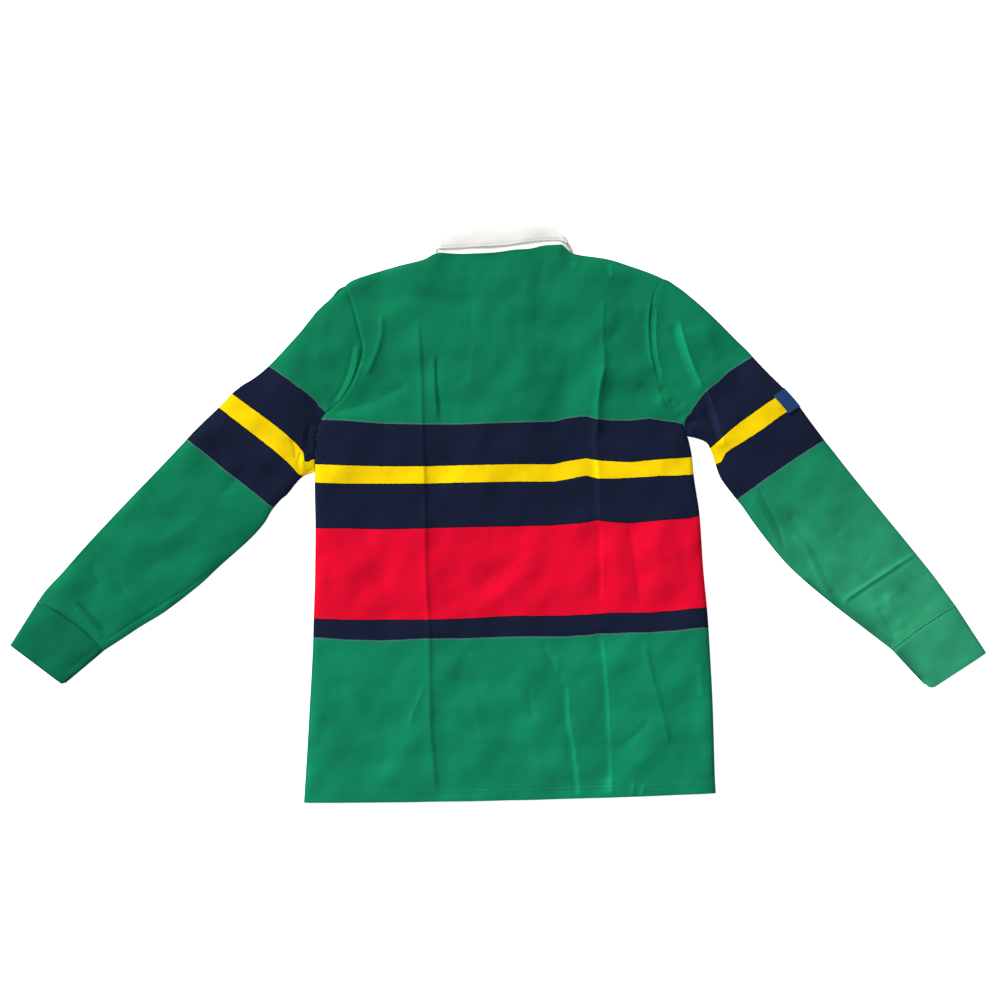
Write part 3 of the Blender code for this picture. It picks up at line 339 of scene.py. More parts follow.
def smooth(stations, values, at):
    """The values at any place along a table, on a curve through its rows that never overshoots."""
    stations = np.asarray(stations, float)
    values = np.asarray(values, float)
    at = np.asarray(at, float)
    rise = np.diff(values) / np.diff(stations)
    slope = np.zeros(len(values))
    same_way = rise[:-1] * rise[1:] > 0
    both = np.where(same_way, rise[:-1] + rise[1:], 1.0)
    slope[1:-1] = np.where(same_way, 2 * rise[:-1] * rise[1:] / both, 0.0)
    slope[0], slope[-1] = rise[0], rise[-1]
    i = np.clip(np.searchsorted(stations, at, side="right") - 1, 0, len(rise) - 1)
    step = stations[i + 1] - stations[i]
    t = np.clip((at - stations[i]) / step, 0, 1)
    return (
        values[i] * (1 + 2 * t) * (1 - t) ** 2
        + values[i + 1] * t * t * (3 - 2 * t)
        + step * (slope[i] * t * (1 - t) ** 2 - slope[i + 1] * t * t * (1 - t))
    )


def column(table, name):
    return np.array([getattr(row, name) for row in table], float)


def fade(distance, reach):
    """1 at distance 0 or less, falling smoothly to 0 at reach."""
    t = np.clip(np.asarray(distance, float) / reach, 0, 1)
    return 1 - t * t * (3 - 2 * t)


def nearest(x, y, path):
    """The distance to a path, the side (1 at its right hand, -1 at its left) and the way along."""
    best = np.full(np.shape(x), np.inf)
    side, along = np.zeros(np.shape(x)), np.zeros(np.shape(x))
    done = 0.0
    for (ax, ay), (bx, by) in zip(path[:-1], path[1:]):
        dx, dy = bx - ax, by - ay
        span = math.hypot(dx, dy)
        t = np.clip(((x - ax) * dx + (y - ay) * dy) / span**2, 0, 1)
        gap = np.hypot(x - ax - t * dx, y - ay - t * dy)
        closer = gap < best
        best = np.where(closer, gap, best)
        side = np.where(closer, np.sign((x - ax) * dy - (y - ay) * dx), side)
        along = np.where(closer, done + t * span, along)
        done += span
    return best, side, along, done


def armhole(side, height):
    """The x and y of an armhole seam, or of the side seam below it, at a height up the cloth."""
    heights = column(BODY, "height")
    x = smooth(heights, column(BODY, f"{side}_x"), height)
    y = smooth(heights, column(BODY, f"{side}_y"), height)
    return x, y


def body_plan(across, height, top):
    """Where a point of a body panel lies: across goes from 0 at the left to 1 at the right."""
    left_x, left_y = armhole("left", height)
    right_x, right_y = armhole("right", height)
    x = left_x + across * (right_x - left_x)
    y = left_y + across * (right_y - left_y)
    sag = smooth(column(BODY, "height"), column(BODY, "sag"), height)
    y = y - sag * 4 * across * (1 - across)
    near_top = np.clip((height - UNDERARM) / (SHOULDER - UNDERARM), 0, 1)
    return x, y + near_top**1.5 * top(across)


def rise_of_top(x_of, y_of):
    """How far a panel's top edge stands above the line between its two shoulder points."""
    first, last = BODY[-1].left_x, BODY[-1].right_x
    across = (np.array(x_of, float) - first) / (last - first)
    line = BODY[-1].left_y + across * (BODY[-1].right_y - BODY[-1].left_y)
    return across, np.array(y_of, float) - line


def back_top(across):
    places, rises = rise_of_top(column(BACK_TOP, "x"), column(BACK_TOP, "y"))
    return smooth(places, rises, across)


def front_top(across):
    """The shoulders of the back, with a deeper hollow between the sides of the neck."""
    places, _ = rise_of_top([NECK_X - NECK_HALF, NECK_X + NECK_HALF], [0, 0])
    middle, half = sum(places) / 2, (places[1] - places[0]) / 2
    sine = np.clip((across - middle) / half, -1, 1)
    x = NECK_X + NECK_HALF * sine
    y = NECK_SIDE_Y - FRONT_NECK_DEPTH * np.sqrt(1 - sine**2)
    inside = np.abs(across - middle) < half - 1e-6
    return np.where(inside, rise_of_top(x, y)[1], back_top(across))


def arm_section(side, row, share):
    """The x and y of a sleeve's section, at shares of the way from its outer to its inner fold."""
    dx, dy = row.inner_x - row.outer_x, row.inner_y - row.outer_y
    back = row.bow * 4 * share * (1 - share) / math.hypot(dx, dy)
    towards_body = 1 if side == "left" else -1
    x = row.outer_x + share * dx - towards_body * back * dy
    y = row.outer_y + share * dy + back * abs(dx)
    return x, y


def sleeve_plan(side, table, shares, alongs):
    """Where the points of a sleeve lie, a row for each along and a column for each share."""
    shares, alongs = np.asarray(shares, float), np.asarray(alongs, float)
    seam_x, seam_y = armhole(side, SHOULDER - shares * (SHOULDER - UNDERARM))
    gap = 0.05
    sections = [(seam_x - gap if side == "left" else seam_x + gap, seam_y)]
    sections += [arm_section(side, row, shares) for row in table]
    stations = np.concatenate([[0], column(table, "along")])
    x, y = (
        np.stack([smooth(stations, [s[k][c] for s in sections], alongs) for c in range(len(shares))], 1)
        for k in (0, 1)
    )
    x, y = swung(side, x, y, shares, alongs[:, None])
    if side == "left":
        # Below the armhole this sleeve goes on lying against the body's side
        edge_x, edge_y = armhole(side, np.linspace(400, UNDERARM, 30))
        fold_x, fold_y = swung(side, *arm_fold(table, alongs), 1.0, alongs)
        beside = np.interp(fold_y, edge_y, edge_x) - gap - fold_x
        x = x + (beside * fade(alongs - BESIDE_BODY, 6))[:, None] * shares**8
    return x, y


def arm_fold(table, alongs):
    """The x and y of a sleeve's inner fold."""
    start_x, start_y = armhole("left", UNDERARM)
    stations = np.concatenate([[0], column(table, "along")])
    x = np.concatenate([[start_x], column(table, "inner_x")])
    y = np.concatenate([[start_y], column(table, "inner_y")])
    return smooth(stations, x, alongs), smooth(stations, y, alongs)


def swung(side, x, y, shares, alongs):
    """Points across an arm, moved with its two swinging edges. The first and last lie on them."""
    table = SWINGS[side]
    places = column(table, "along")
    outer, inner = (smooth(places, column(table, side), alongs) for side in ("outer", "inner"))
    out = {"left": (-0.64, 0.77), "right": (0.75, 0.66)}[side]
    shift = outer * (1 - shares) ** 3 - inner * shares**3
    return x + shift * out[0], y + shift * out[1]


def under(x, y):
    """How far the lower layer is held off the ground by what lies under it."""
    beside = np.abs(x - NECK_X) - PLACKET_HALF - 5
    beyond = np.maximum(PLACKET_TOP_Y - PLACKET_LENGTH - 30 - y, y - PLACKET_TOP_Y - 40)
    placket = fade(np.hypot(np.maximum(beside, 0), np.maximum(beyond, 0)), 60)
    from_neck = np.hypot((x - NECK_X) / COLLAR_SPREAD.x, (y - COLLAR_MIDDLE_Y) / COLLAR_SPREAD.y)
    collar = fade((from_neck - 1) * (COLLAR_SPREAD.x + COLLAR_SPREAD.y) / 2, 42)
    label = fade(np.hypot(x - LABEL_MIDDLE.x, y - LABEL_MIDDLE.y) - 45, 30)
    lifts = (PLACKET_LIFT * placket, COLLAR_LIFT * collar, LABEL_LIFT * label)
    return np.max(lifts, axis=0)


def rounded(path):
    """A path with its corners rounded off."""
    path = np.array(path, float)
    if len(path) < 3:
        return path
    stations = np.concatenate([[0], np.cumsum(np.hypot(*np.diff(path, axis=0).T))])
    at = np.linspace(0, stations[-1], 4 * len(path))
    return np.stack([smooth(stations, path[:, k], at) for k in (0, 1)], axis=1)


def along_folds(x, y, field, folds=FOLDS):
    """The rise or the painted light and shade that all of a layer's folds together give at each place."""
    total = np.zeros(np.shape(x))
    for fold in (f for f in folds if getattr(f, field)):
        path = rounded(fold.path)
        reach = 5 * fold.width * (1 + abs(fold.skew)) + fold.crest
        low, high = path.min(axis=0) - reach, path.max(axis=0) + reach
        here = (x > low[0]) & (x < high[0]) & (y > low[1]) & (y < high[1])
        if not here.any():
            continue
        gap, side, along, length = nearest(x[here], y[here], path)
        width = fold.width * (1 + fold.skew * side)
        profile = np.exp(-(np.sqrt(gap**2 + fold.crest**2) - fold.crest) / width)
        ends = (1 - fade(along, fold.taper)) * (1 - fade(length - along, fold.taper))
        total[here] += getattr(fold, field) * profile * ends
    return total


# Broad, shallow swells all over the cloth, from lying unpressed
SWELL_RISE = 0.7
SWELL_WAVES = 16
swell_draw = np.random.default_rng(7)
SWELLS = [
    (swell_draw.uniform(45, 140), swell_draw.uniform(0, math.pi), swell_draw.uniform(0, 2 * math.pi))
    for _ in range(SWELL_WAVES)
]


def swells(x, y):
    total = np.zeros(np.shape(x))
    for length, heading, phase in SWELLS:
        total += np.sin(2 * math.pi / length * (x * math.cos(heading) + y * math.sin(heading)) + phase)
    return SWELL_RISE * total / math.sqrt(SWELL_WAVES / 2)


def folded_edges():
    """The edges where the upper layer turns down into the lower one, as paths."""
    heights = np.linspace(0, UNDERARM, 24)
    paths = [list(zip(*armhole(side, heights))) for side in ("left", "right")]
    tops = [(p.x, p.y) for p in BACK_TOP]
    paths.append([p for p in tops if p[0] <= NECK_X - NECK_HALF])
    paths.append([p for p in tops if p[0] >= NECK_X + NECK_HALF])
    for side, table in (("left", LEFT_SLEEVE), ("right", RIGHT_SLEEVE)):
        x, y = sleeve_plan(side, table, (0, 1), np.linspace(0, table[-1].along, 30))
        paths += [list(zip(x[:, edge], y[:, edge])) for edge in (0, 1)]
    return paths


EDGES = folded_edges()
Seam = namedtuple("Seam", "dip path")
SEAMS = [
    Seam(dip, list(zip(*armhole(side, np.linspace(UNDERARM, SHOULDER, 20)))))
    for side, dip in (("left", 0.9), ("right", 0.35))
]
for side, table, dip in (("left", LEFT_SLEEVE, 2.2), ("right", RIGHT_SLEEVE, 0.35)):
    SEAMS.append(Seam(dip, list(zip(*arm_section(side, table[-1], np.linspace(0, 1, 9))))))
SEAM_WIDTH = 1.9


def from_edges(x, y):
    """The distance to the nearest folded edge."""
    return np.min([nearest(x, y, path)[0] for path in EDGES], axis=0)


def upper(x, y, distance=None):
    """The height of the upper layer's inner face, low along the folded edges and at the seams."""
    distance = from_edges(x, y) if distance is None else distance
    dips = [seam.dip * np.exp(-((nearest(x, y, seam.path)[0] / SEAM_WIDTH) ** 2)) for seam in SEAMS]
    lift = AIR + along_folds(x, y, "rise") + swells(x, y) - np.max(dips, axis=0)
    puff = lift * (1 - np.exp(-distance / EDGE_ROLL))
    # Where a trough would go through the lower layer, it flattens out on it
    soft = 0.35
    puff = soft * np.logaddexp(0, puff / soft)
    return under(x, y) + JERSEY + 2 * FOLD_INSIDE + puff - soft * math.log(2) * np.exp(-distance / 3)


def creased_beneath(x, y, rim, high):
    """How far creases lift the lower layer, within the air under the upper one."""
    lift = along_folds(x, y, "rise", CREASES_BENEATH) * (1 - fade(rim, 14))
    return np.clip(lift, 0, high - under(x, y) - JERSEY - 0.6)


# Painted shade: the cloth is drawn a little darker at its very edges, where it rolls under
SHARP_FROM = 55
EDGE_SHADE = 0.2
EDGE_WIDTH = 2.4


def toned(x, y, rim, showing):
    """The painted light and shade: lighter and darker along the folds of the layer that shows, and painted
    shade at the rim.
    """
    rubbed = np.where(showing, along_folds(x, y, "rubbed"), 0.0)
    return rubbed - EDGE_SHADE * np.exp(-((rim / EDGE_WIDTH) ** 2))


def turned(layer, radius, turn, low, high):
    """The inset from a folded edge, and the height, of a face that rolls round that edge.

    layer is 1 for the upper cloth and -1 for the lower one. turn is 0 on the edge and 1 on the
    flat. low and high are the heights of the two layers' undersides.
    """
    angle = turn * math.pi / 2
    inset = FOLD_OUTSIDE - radius * np.cos(angle)
    middle = low + FOLD_OUTSIDE
    thick = radius - FOLD_INSIDE
    flat = high + thick if layer > 0 else low + JERSEY - thick
    return inset, middle + (flat - middle) * np.sin(angle)


def placed(name, data):
    made = bpy.data.objects.new(name, data)
    bpy.context.scene.collection.objects.link(made)
    return made


def cloth_wall(name, outer, inner, map_u, map_v, tone=None, cyclic=False):
    """A closed wall of cloth between two grids of points, with its map in metres of flat cloth.

    tone is the painted light and shade at each point: lighter above 0 and darker below. The inner
    face is out of sight and keeps every other row and column.
    """
    rows, columns = outer.shape[:2]
    wide = columns + 1 if cyclic else columns
    kept_rows, kept_columns = (np.unique([*range(0, n, 2), n - 1]) for n in (rows, wide))

    def grid(face, down, across):
        quads = zip(*(g.ravel() for g in np.meshgrid(down[:-1], across[:-1], indexing="ij")))
        below, beyond = dict(zip(down[:-1], down[1:])), dict(zip(across[:-1], across[1:]))
        return [
            [(face, r, c), (face, r, beyond[c]), (face, below[r], beyond[c]), (face, below[r], c)]
            for r, c in quads
        ]

    def strips(kept, at):
        pairs = zip(kept[:-1], kept[1:])
        return [[at(0, k) for k in range(p, q + 1)] + [at(1, q), at(1, p)] for p, q in pairs]

    faces = grid(0, np.arange(rows), np.arange(wide))
    faces += strips(kept_columns, lambda face, c: (face, rows - 1, c))
    turned_over = grid(1, kept_rows, kept_columns) + strips(kept_columns, lambda face, c: (face, 0, c))
    if not cyclic:
        faces += strips(kept_rows, lambda face, r: (face, r, 0))
        turned_over += strips(kept_rows, lambda face, r: (face, r, columns - 1))
    faces += [face[::-1] for face in turned_over]
    ends = np.cumsum([len(face) for face in faces])
    face, r, c = np.array([corner for face in faces for corner in face]).T
    used, index = np.unique((face * rows + r) * columns + c % columns, return_inverse=True)
    points = np.concatenate([outer.reshape(-1, 3), inner.reshape(-1, 3)])[used]
    points = (points + np.array([MIDDLE_X, MIDDLE_Y, 0])) * MM
    index = index.tolist()
    mesh = bpy.data.meshes.new(name)
    mesh.from_pydata(points.tolist(), [], [index[a:b] for a, b in zip([0, *ends[:-1]], ends)])
    flat = np.stack([map_u[r, c], map_v[r, c]], axis=-1)
    mesh.uv_layers.new(name="cloth").data.foreach_set("uv", (flat * MM).ravel())
    mesh.calc_loop_triangles()
    a, b, c = (points[[t.vertices[k] for t in mesh.loop_triangles]] for k in range(3))
    if (a * np.cross(b, c)).sum() < 0:
        mesh.flip_normals()
    mesh.shade_smooth()
    mesh.set_sharp_from_angle(angle=math.radians(SHARP_FROM))
    # The painted light and shade goes on the mesh for the jersey to read
    if tone is not None:
        tone = np.tile(tone.ravel(), 2)[used]
        mesh.attributes.new("rubbed", "FLOAT", "POINT").data.foreach_set("value", tone)
    return placed(name, mesh)


def between_lines(at, lines, heights):
    """The height up the bands of points that lie at given places among the bands' lines."""
    found = heights[0] + at - lines[0]
    for k in range(len(lines) - 1):
        share = (at - lines[k]) / (lines[k + 1] - lines[k])
        found = np.where(at > lines[k], heights[k] + share * (heights[k + 1] - heights[k]), found)
    return np.where(at > lines[-1], heights[-1] + at - lines[-1], found)


STEP_UP = 2.9
STEP_UP_TOP = 1.9
BACK_COLUMNS = 235
CREASE_X = (-112, 128)
CREASE_CLOSER = 1.2
CREASE_REACH = 22
FRONT_STEP = 5.0
FRONT_COLUMNS = 42
FRONT_NECK_COLUMNS = 48
TURNS = (0.0, 0.2, 0.4, 0.6, 0.8)


def panel_columns(layer):
    """Where a panel's columns stand. The back's are closest along the two creases from folding the
    shirt in three, and the front's at the sides of its deep neck."""
    ends, _ = rise_of_top([NECK_X - NECK_HALF, NECK_X + NECK_HALF], [0, 0])
    if layer > 0:
        x = np.linspace(BODY[-1].left_x, BODY[-1].right_x, 1000)
        closeness = 1 + sum(
            CREASE_CLOSER * np.exp(-(((x - crease) / CREASE_REACH) ** 2)) for crease in CREASE_X
        )
        places = np.cumsum(closeness) - closeness[0]
        columns = np.interp(np.linspace(0, places[-1], BACK_COLUMNS + 1), places, np.linspace(0, 1, 1000))
        # The two columns nearest to the sides of the neck stand on them
        for end in ends:
            columns[np.abs(columns - end).argmin()] = end
        return columns
    ramp = np.sin(np.linspace(0, math.pi / 2, FRONT_COLUMNS + 1))
    middle, half = sum(ends) / 2, (ends[1] - ends[0]) / 2
    neck = middle + half * np.sin(np.linspace(-math.pi / 2, math.pi / 2, FRONT_NECK_COLUMNS + 1))
    return np.concatenate([ends[0] * ramp[:-1], neck, (1 - (1 - ends[1]) * ramp[::-1])[1:]])


def body_panel(name, layer, top, step, step_top):
    """The back (layer 1) or the front (layer -1), from side seam to side seam and hem to neck."""
    columns = panel_columns(layer)
    heights = np.concatenate([
        np.linspace(0, HEM_DEPTH, 7)[:-1],
        np.linspace(HEM_DEPTH, UNDERARM, round((UNDERARM - HEM_DEPTH) / step) + 1)[:-1],
        np.linspace(UNDERARM, SHOULDER, round((SHOULDER - UNDERARM) / step_top) + 1),
    ])
    edge = list(TURNS)
    across = np.concatenate([[0] * len(edge), columns, [1] * len(edge)])
    side_turn = np.concatenate([edge, np.ones(len(columns)), edge[::-1]])
    up = np.concatenate([heights, [SHOULDER] * len(edge)])
    top_turn = np.concatenate([np.ones(len(heights)), edge[::-1]])
    across, up = np.meshgrid(across, up)
    side_turn, top_turn = np.meshgrid(side_turn, top_turn)

    x, y = body_plan(across, up, top)
    on_side = up < UNDERARM + 1
    places, _ = rise_of_top([NECK_X - NECK_HALF, NECK_X + NECK_HALF], [0, 0])
    on_shoulder = (across <= places[0] + 1e-6) | (across >= places[1] - 1e-6)
    way_in = np.where(across < 0.5, 1.0, -1.0)
    rim = from_edges(x, y)
    low, upper_face = under(x, y), upper(x, y, rim)
    hem = HEM_EXTRA * fade(up - HEM_DEPTH + 2, 2)
    lift = creased_beneath(x, y, rim, upper_face) if layer < 0 else 0

    grids = []
    for radius in (FOLD_OUTSIDE, FOLD_INSIDE):
        high = upper_face + hem if layer > 0 and radius == FOLD_OUTSIDE else upper_face
        inset_side, z_side = turned(layer, radius, np.where(on_side, side_turn, 1), low, high)
        inset_top, z_top = turned(layer, radius, np.where(on_shoulder, top_turn, 1), low, high)
        _, z_flat = turned(layer, radius, 1.0, low, high)
        middle = low + FOLD_OUTSIDE
        share = (z_side - middle) * (z_top - middle) / np.where(z_flat == middle, 1, z_flat - middle)
        # The seam gap parts the two layers where they meet at an edge
        turn = np.where(on_side, side_turn, 1) * np.where(on_shoulder, top_turn, 1)
        z = middle + share + layer * (1 - turn) * SEAM_GAP / 2 + lift
        inset_side = np.where(on_side, inset_side, FOLD_OUTSIDE * side_turn)
        inset_side = inset_side * (across * (1 - across) == 0)
        inset_top = np.where(on_shoulder, inset_top, FOLD_OUTSIDE * top_turn)
        inset_top = inset_top * (up >= SHOULDER)
        grids.append(np.stack([x + way_in * inset_side, y - inset_top, z], axis=2))
    bands = up
    if layer > 0:
        lines = [np.interp(x, column(BAND_LINES, "x"), column(BAND_LINES, f)) for f in Lines._fields[1:]]
        bands = between_lines(y, lines, BAND_HEIGHTS)
    # Painted shade runs along the folded edges and the hem, and painted light and shade along the folds
    tone = toned(x, y, np.minimum(rim, up), layer > 0)
    return cloth_wall(name, grids[0], grids[1], x, bands, tone)


def node(tree, kind, inputs=(), **settings):
    """Adds a node, sets it up, and gives its inputs values or links them to sockets or nodes."""
    made = tree.nodes.new(kind)
    for name, value in settings.items():
        setattr(made, name, value)
    for name, value in dict(inputs).items():
        if isinstance(value, bpy.types.Node):
            value = value.outputs[0]
        if isinstance(value, bpy.types.NodeSocket):
            tree.links.new(value, made.inputs[name])
        else:
            made.inputs[name].default_value = value
    return made


def dye(code):
    """A linear colour from an sRGB hex code."""
    parts = [int(code[i : i + 2], 16) / 255 for i in (0, 2, 4)]
    return (*[c / 12.92 if c < 0.04045 else ((c + 0.055) / 1.055) ** 2.4 for c in parts], 1.0)


GREEN = "07734e"
NAVY = "121a30"
YELLOW = "f0cc00"
RED = "d8032a"
# The last course of one yarn beside the next shows as a thin line: nearly black beside yellow and
# red, and a greyed green between green and navy
DARK_EDGE = "0d0f18"
GREY_EDGE = "3f7068"
Band = namedtuple("Band", "start yarn")
BODY_BANDS = rows_of(
    Band,
    (-40, "0a7a56"), (220.2, GREY_EDGE), (221.8, NAVY), (247.4, DARK_EDGE), (248.5, RED),
    (372.4, DARK_EDGE), (373.6, NAVY), (431.4, DARK_EDGE), (432.6, YELLOW), (457.4, DARK_EDGE),
    (458.6, NAVY), (513.2, GREY_EDGE), (514.8, GREEN),
)


def material(name, values):
    """A material, its nodes, its shader with these values, and the places on the object."""
    made = bpy.data.materials.new(name)
    made.use_nodes = True
    tree = made.node_tree
    shader = tree.nodes["Principled BSDF"]
    for socket, value in values.items():
        shader.inputs[socket].default_value = value
    return made, tree, shader, node(tree, "ShaderNodeTexCoord").outputs["Object"]


def cloth_map(tree):
    """The flat cloth's own measures at a point, in metres: both together, across it and up it."""
    flat = node(tree, "ShaderNodeUVMap", uv_map="cloth")
    split = node(tree, "ShaderNodeSeparateXYZ", {"Vector": flat})
    return flat.outputs[0], split.outputs["X"], split.outputs["Y"]


def ribs(tree, shader, across, spacing):
    """Fine raised lines a spacing apart, over the relief that the shader already has."""
    turn = node(tree, "ShaderNodeMath", {0: across, 1: 2 * math.pi / spacing}, operation="MULTIPLY")
    waves = node(tree, "ShaderNodeMath", {0: turn}, operation="SINE")
    inputs = {"Height": waves, "Strength": 0.3, "Distance": 0.0001}
    for link in shader.inputs["Normal"].links:
        inputs["Normal"] = link.from_socket
    tree.links.new(node(tree, "ShaderNodeBump", inputs).outputs[0], shader.inputs["Normal"])


def crumpled(tree, shader, place, depth):
    """The small soft dents of unpressed cloth, over the relief that the shader already has."""
    dents = node(tree, "ShaderNodeTexNoise", {"Vector": place, "Scale": 30.0, "Detail": 1.0})
    inputs = {"Height": dents, "Strength": 1.0, "Distance": depth}
    inputs["Normal"] = shader.inputs["Normal"].links[0].from_socket
    tree.links.new(node(tree, "ShaderNodeBump", inputs).outputs[0], shader.inputs["Normal"])


def patchy(tree, shader, noise, code, low, ends=(0.0, 1.0)):
    """A colour in soft patches, down to low times as light. ends is where the noise is darkest and
    lightest. Gives the noise."""
    patches = node(tree, "ShaderNodeTexNoise", noise)
    tone = node(tree, "ShaderNodeValToRGB", {"Fac": patches})
    dark, light = tone.color_ramp.elements
    dark.position, light.position = ends
    dark.color, light.color = [c * low for c in dye(code)[:3]] + [1.0], dye(code)
    tree.links.new(tone.outputs["Color"], shader.inputs["Base Color"])
    return patches


# A painted sheen, a whitish haze along the cloth: from where to where along it, and how much at the far
# end
PaintedSheen = namedtuple("PaintedSheen", "start end strength yarn")


def jersey(name, bands, painted_sheen=None):
    """Heavy cotton jersey, yarn dyed: dull and softly napped, with wales 1.2 mm apart."""
    values = {"Roughness": 0.95, "IOR": 1.5, "Specular IOR Level": 0.08}
    values |= {"Sheen Weight": 0.02, "Sheen Roughness": 0.5}
    made, tree, shader, place = material(name, values)
    _, across, up = cloth_map(tree)

    # The bands, whose edges wander by part of a stitch
    wander = node(tree, "ShaderNodeTexNoise", {"Vector": place, "Scale": 160.0, "Detail": 2.0})
    shift = node(tree, "ShaderNodeMath", {0: wander, 1: 0.0012, 2: -0.0006}, operation="MULTIPLY_ADD")
    height = node(tree, "ShaderNodeMath", {0: up, 1: shift}, operation="ADD")
    colour = node(tree, "ShaderNodeRGB")
    colour.outputs[0].default_value = dye(bands[0].yarn)
    for band in bands[1:]:
        past = node(tree, "ShaderNodeMath", {0: height, 1: band.start * MM}, operation="GREATER_THAN")
        colours = {"Fac": past, "Color1": colour, "Color2": dye(band.yarn)}
        colour = node(tree, "ShaderNodeMixRGB", colours)
    # A painted sheen: the colour goes whiter, in blotches, along the cloth
    if painted_sheen:
        reach = {"Value": up, "From Min": painted_sheen.start * MM, "From Max": painted_sheen.end * MM}
        sheen_ramp = node(tree, "ShaderNodeMapRange", reach | {"To Max": painted_sheen.strength})
        blotches = node(tree, "ShaderNodeTexNoise", {"Vector": place, "Scale": 45.0, "Detail": 3.0})
        broken = node(tree, "ShaderNodeMath", {0: blotches, 1: 1.6, 2: 0.2}, operation="MULTIPLY_ADD")
        sheen_share = node(tree, "ShaderNodeMath", {0: sheen_ramp, 1: broken}, operation="MULTIPLY", use_clamp=True)
        colours = {"Fac": sheen_share, "Color1": colour, "Color2": dye(painted_sheen.yarn)}
        colour = node(tree, "ShaderNodeMixRGB", colours)

    # Dye and nap: broad patches and a speckle of fibre ends; and painted light and shade, lighter along
    # fold ridges and darker in some troughs and at the rim
    noise = {"Vector": place, "Scale": 14.0, "Detail": 4.0, "Roughness": 0.6}
    patches = node(tree, "ShaderNodeTexNoise", noise)
    speckle = node(tree, "ShaderNodeTexNoise", {"Vector": place, "Scale": 520.0, "Detail": 2.0})
    tone = node(tree, "ShaderNodeMath", {0: patches, 1: 0.5, 2: 0.75}, operation="MULTIPLY_ADD")
    grain = node(tree, "ShaderNodeMath", {0: speckle, 1: 0.2, 2: 0.9}, operation="MULTIPLY_ADD")
    both = node(tree, "ShaderNodeMath", {0: tone, 1: grain}, operation="MULTIPLY")
    painted_light_value = node(tree, "ShaderNodeAttribute", attribute_name="rubbed").outputs["Fac"]
    painted_light_factor = node(tree, "ShaderNodeMath", {0: painted_light_value, 1: 1.0}, operation="ADD")
    light = node(tree, "ShaderNodeMath", {0: both, 1: painted_light_factor}, operation="MULTIPLY")
    yarn = node(tree, "ShaderNodeVectorMath", {0: colour, "Scale": light}, operation="SCALE")
    tree.links.new(yarn.outputs[0], shader.inputs["Base Color"])

    # The knit's wales, broken by noise, and over them the dents of unpressed cloth
    wale = node(tree, "ShaderNodeMath", {0: across, 1: 2 * math.pi / 0.0012}, operation="MULTIPLY")
    uneven = node(tree, "ShaderNodeTexNoise", {"Vector": place, "Scale": 400.0, "Detail": 1.0})
    wobble = node(tree, "ShaderNodeMath", {0: uneven, 1: 5.0, 2: wale}, operation="MULTIPLY_ADD")
    waves = node(tree, "ShaderNodeMath", {0: wobble}, operation="SINE")
    knit = node(tree, "ShaderNodeBump", {"Height": waves, "Strength": 0.25, "Distance": 0.0001})
    tree.links.new(knit.outputs[0], shader.inputs["Normal"])
    crumpled(tree, shader, place, 0.0018)
    return made


body_jersey = jersey("body_striped_cotton_jersey", BODY_BANDS)
back = body_panel("shirt_back", 1, back_top, STEP_UP, STEP_UP_TOP)
front = body_panel("shirt_front", -1, front_top, FRONT_STEP, FRONT_STEP)
for piece, replaced in ((back, "back"), (front, "front")):
    piece.data.materials.append(body_jersey)
    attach(piece, "root")
    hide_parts(replaced)

# The sleeves: each a flattened tube of the same jersey, sewn into the armhole and closed by a seam
# down its underarm fold. Three bands go round the upper arm.
SLEEVE_BANDS = rows_of(
    Band,
    (-40, GREEN), (151.2, GREY_EDGE), (152.8, NAVY), (216.4, DARK_EDGE), (217.6, YELLOW),
    (242.4, DARK_EDGE), (243.6, NAVY), (303.2, GREY_EDGE), (304.8, GREEN),
)
# How far down the sleeve each band starts, at shares of the way from its outer to its inner fold.
# The cloth bunches under the arms, which pulls the bands out of line there.
ArmLines = namedtuple("ArmLines", "share navy yellow low_navy green")
LEFT_LINES = rows_of(
    ArmLines,
    (0, 152, 219, 244, 303), (0.2, 147, 218.5, 244.5, 305), (0.43, 139, 217, 244, 308),
    (0.63, 125, 216.5, 243, 308.5), (0.8, 105, 218, 243, 308), (0.865, 80, 220.5, 243.5, 308),
    (0.885, 68, 227.5, 243.5, 308), (0.92, 47, 226, 244.5, 308), (0.96, 20, 221, 245, 307.5),
    (1, 5, 217, 243, 307),
)
RIGHT_LINES = rows_of(
    ArmLines,
    (0, 150, 217, 242, 301.5), (0.27, 138, 217, 243, 303), (0.4, 135, 218, 244.5, 304.5),
    (0.55, 125.5, 218.5, 244.5, 306), (0.675, 120.5, 220, 244, 307), (0.8, 112.5, 222.5, 242.5, 309),
    (0.87, 93, 224, 243.5, 309.5), (0.94, 74, 225, 251, 310), (1, 50, 226, 249, 311),
)
SLEEVE_BAND_STARTS = (152, 217, 243, 304)
SLEEVE_STEP = 1.7
SLEEVE_COLUMNS = 145


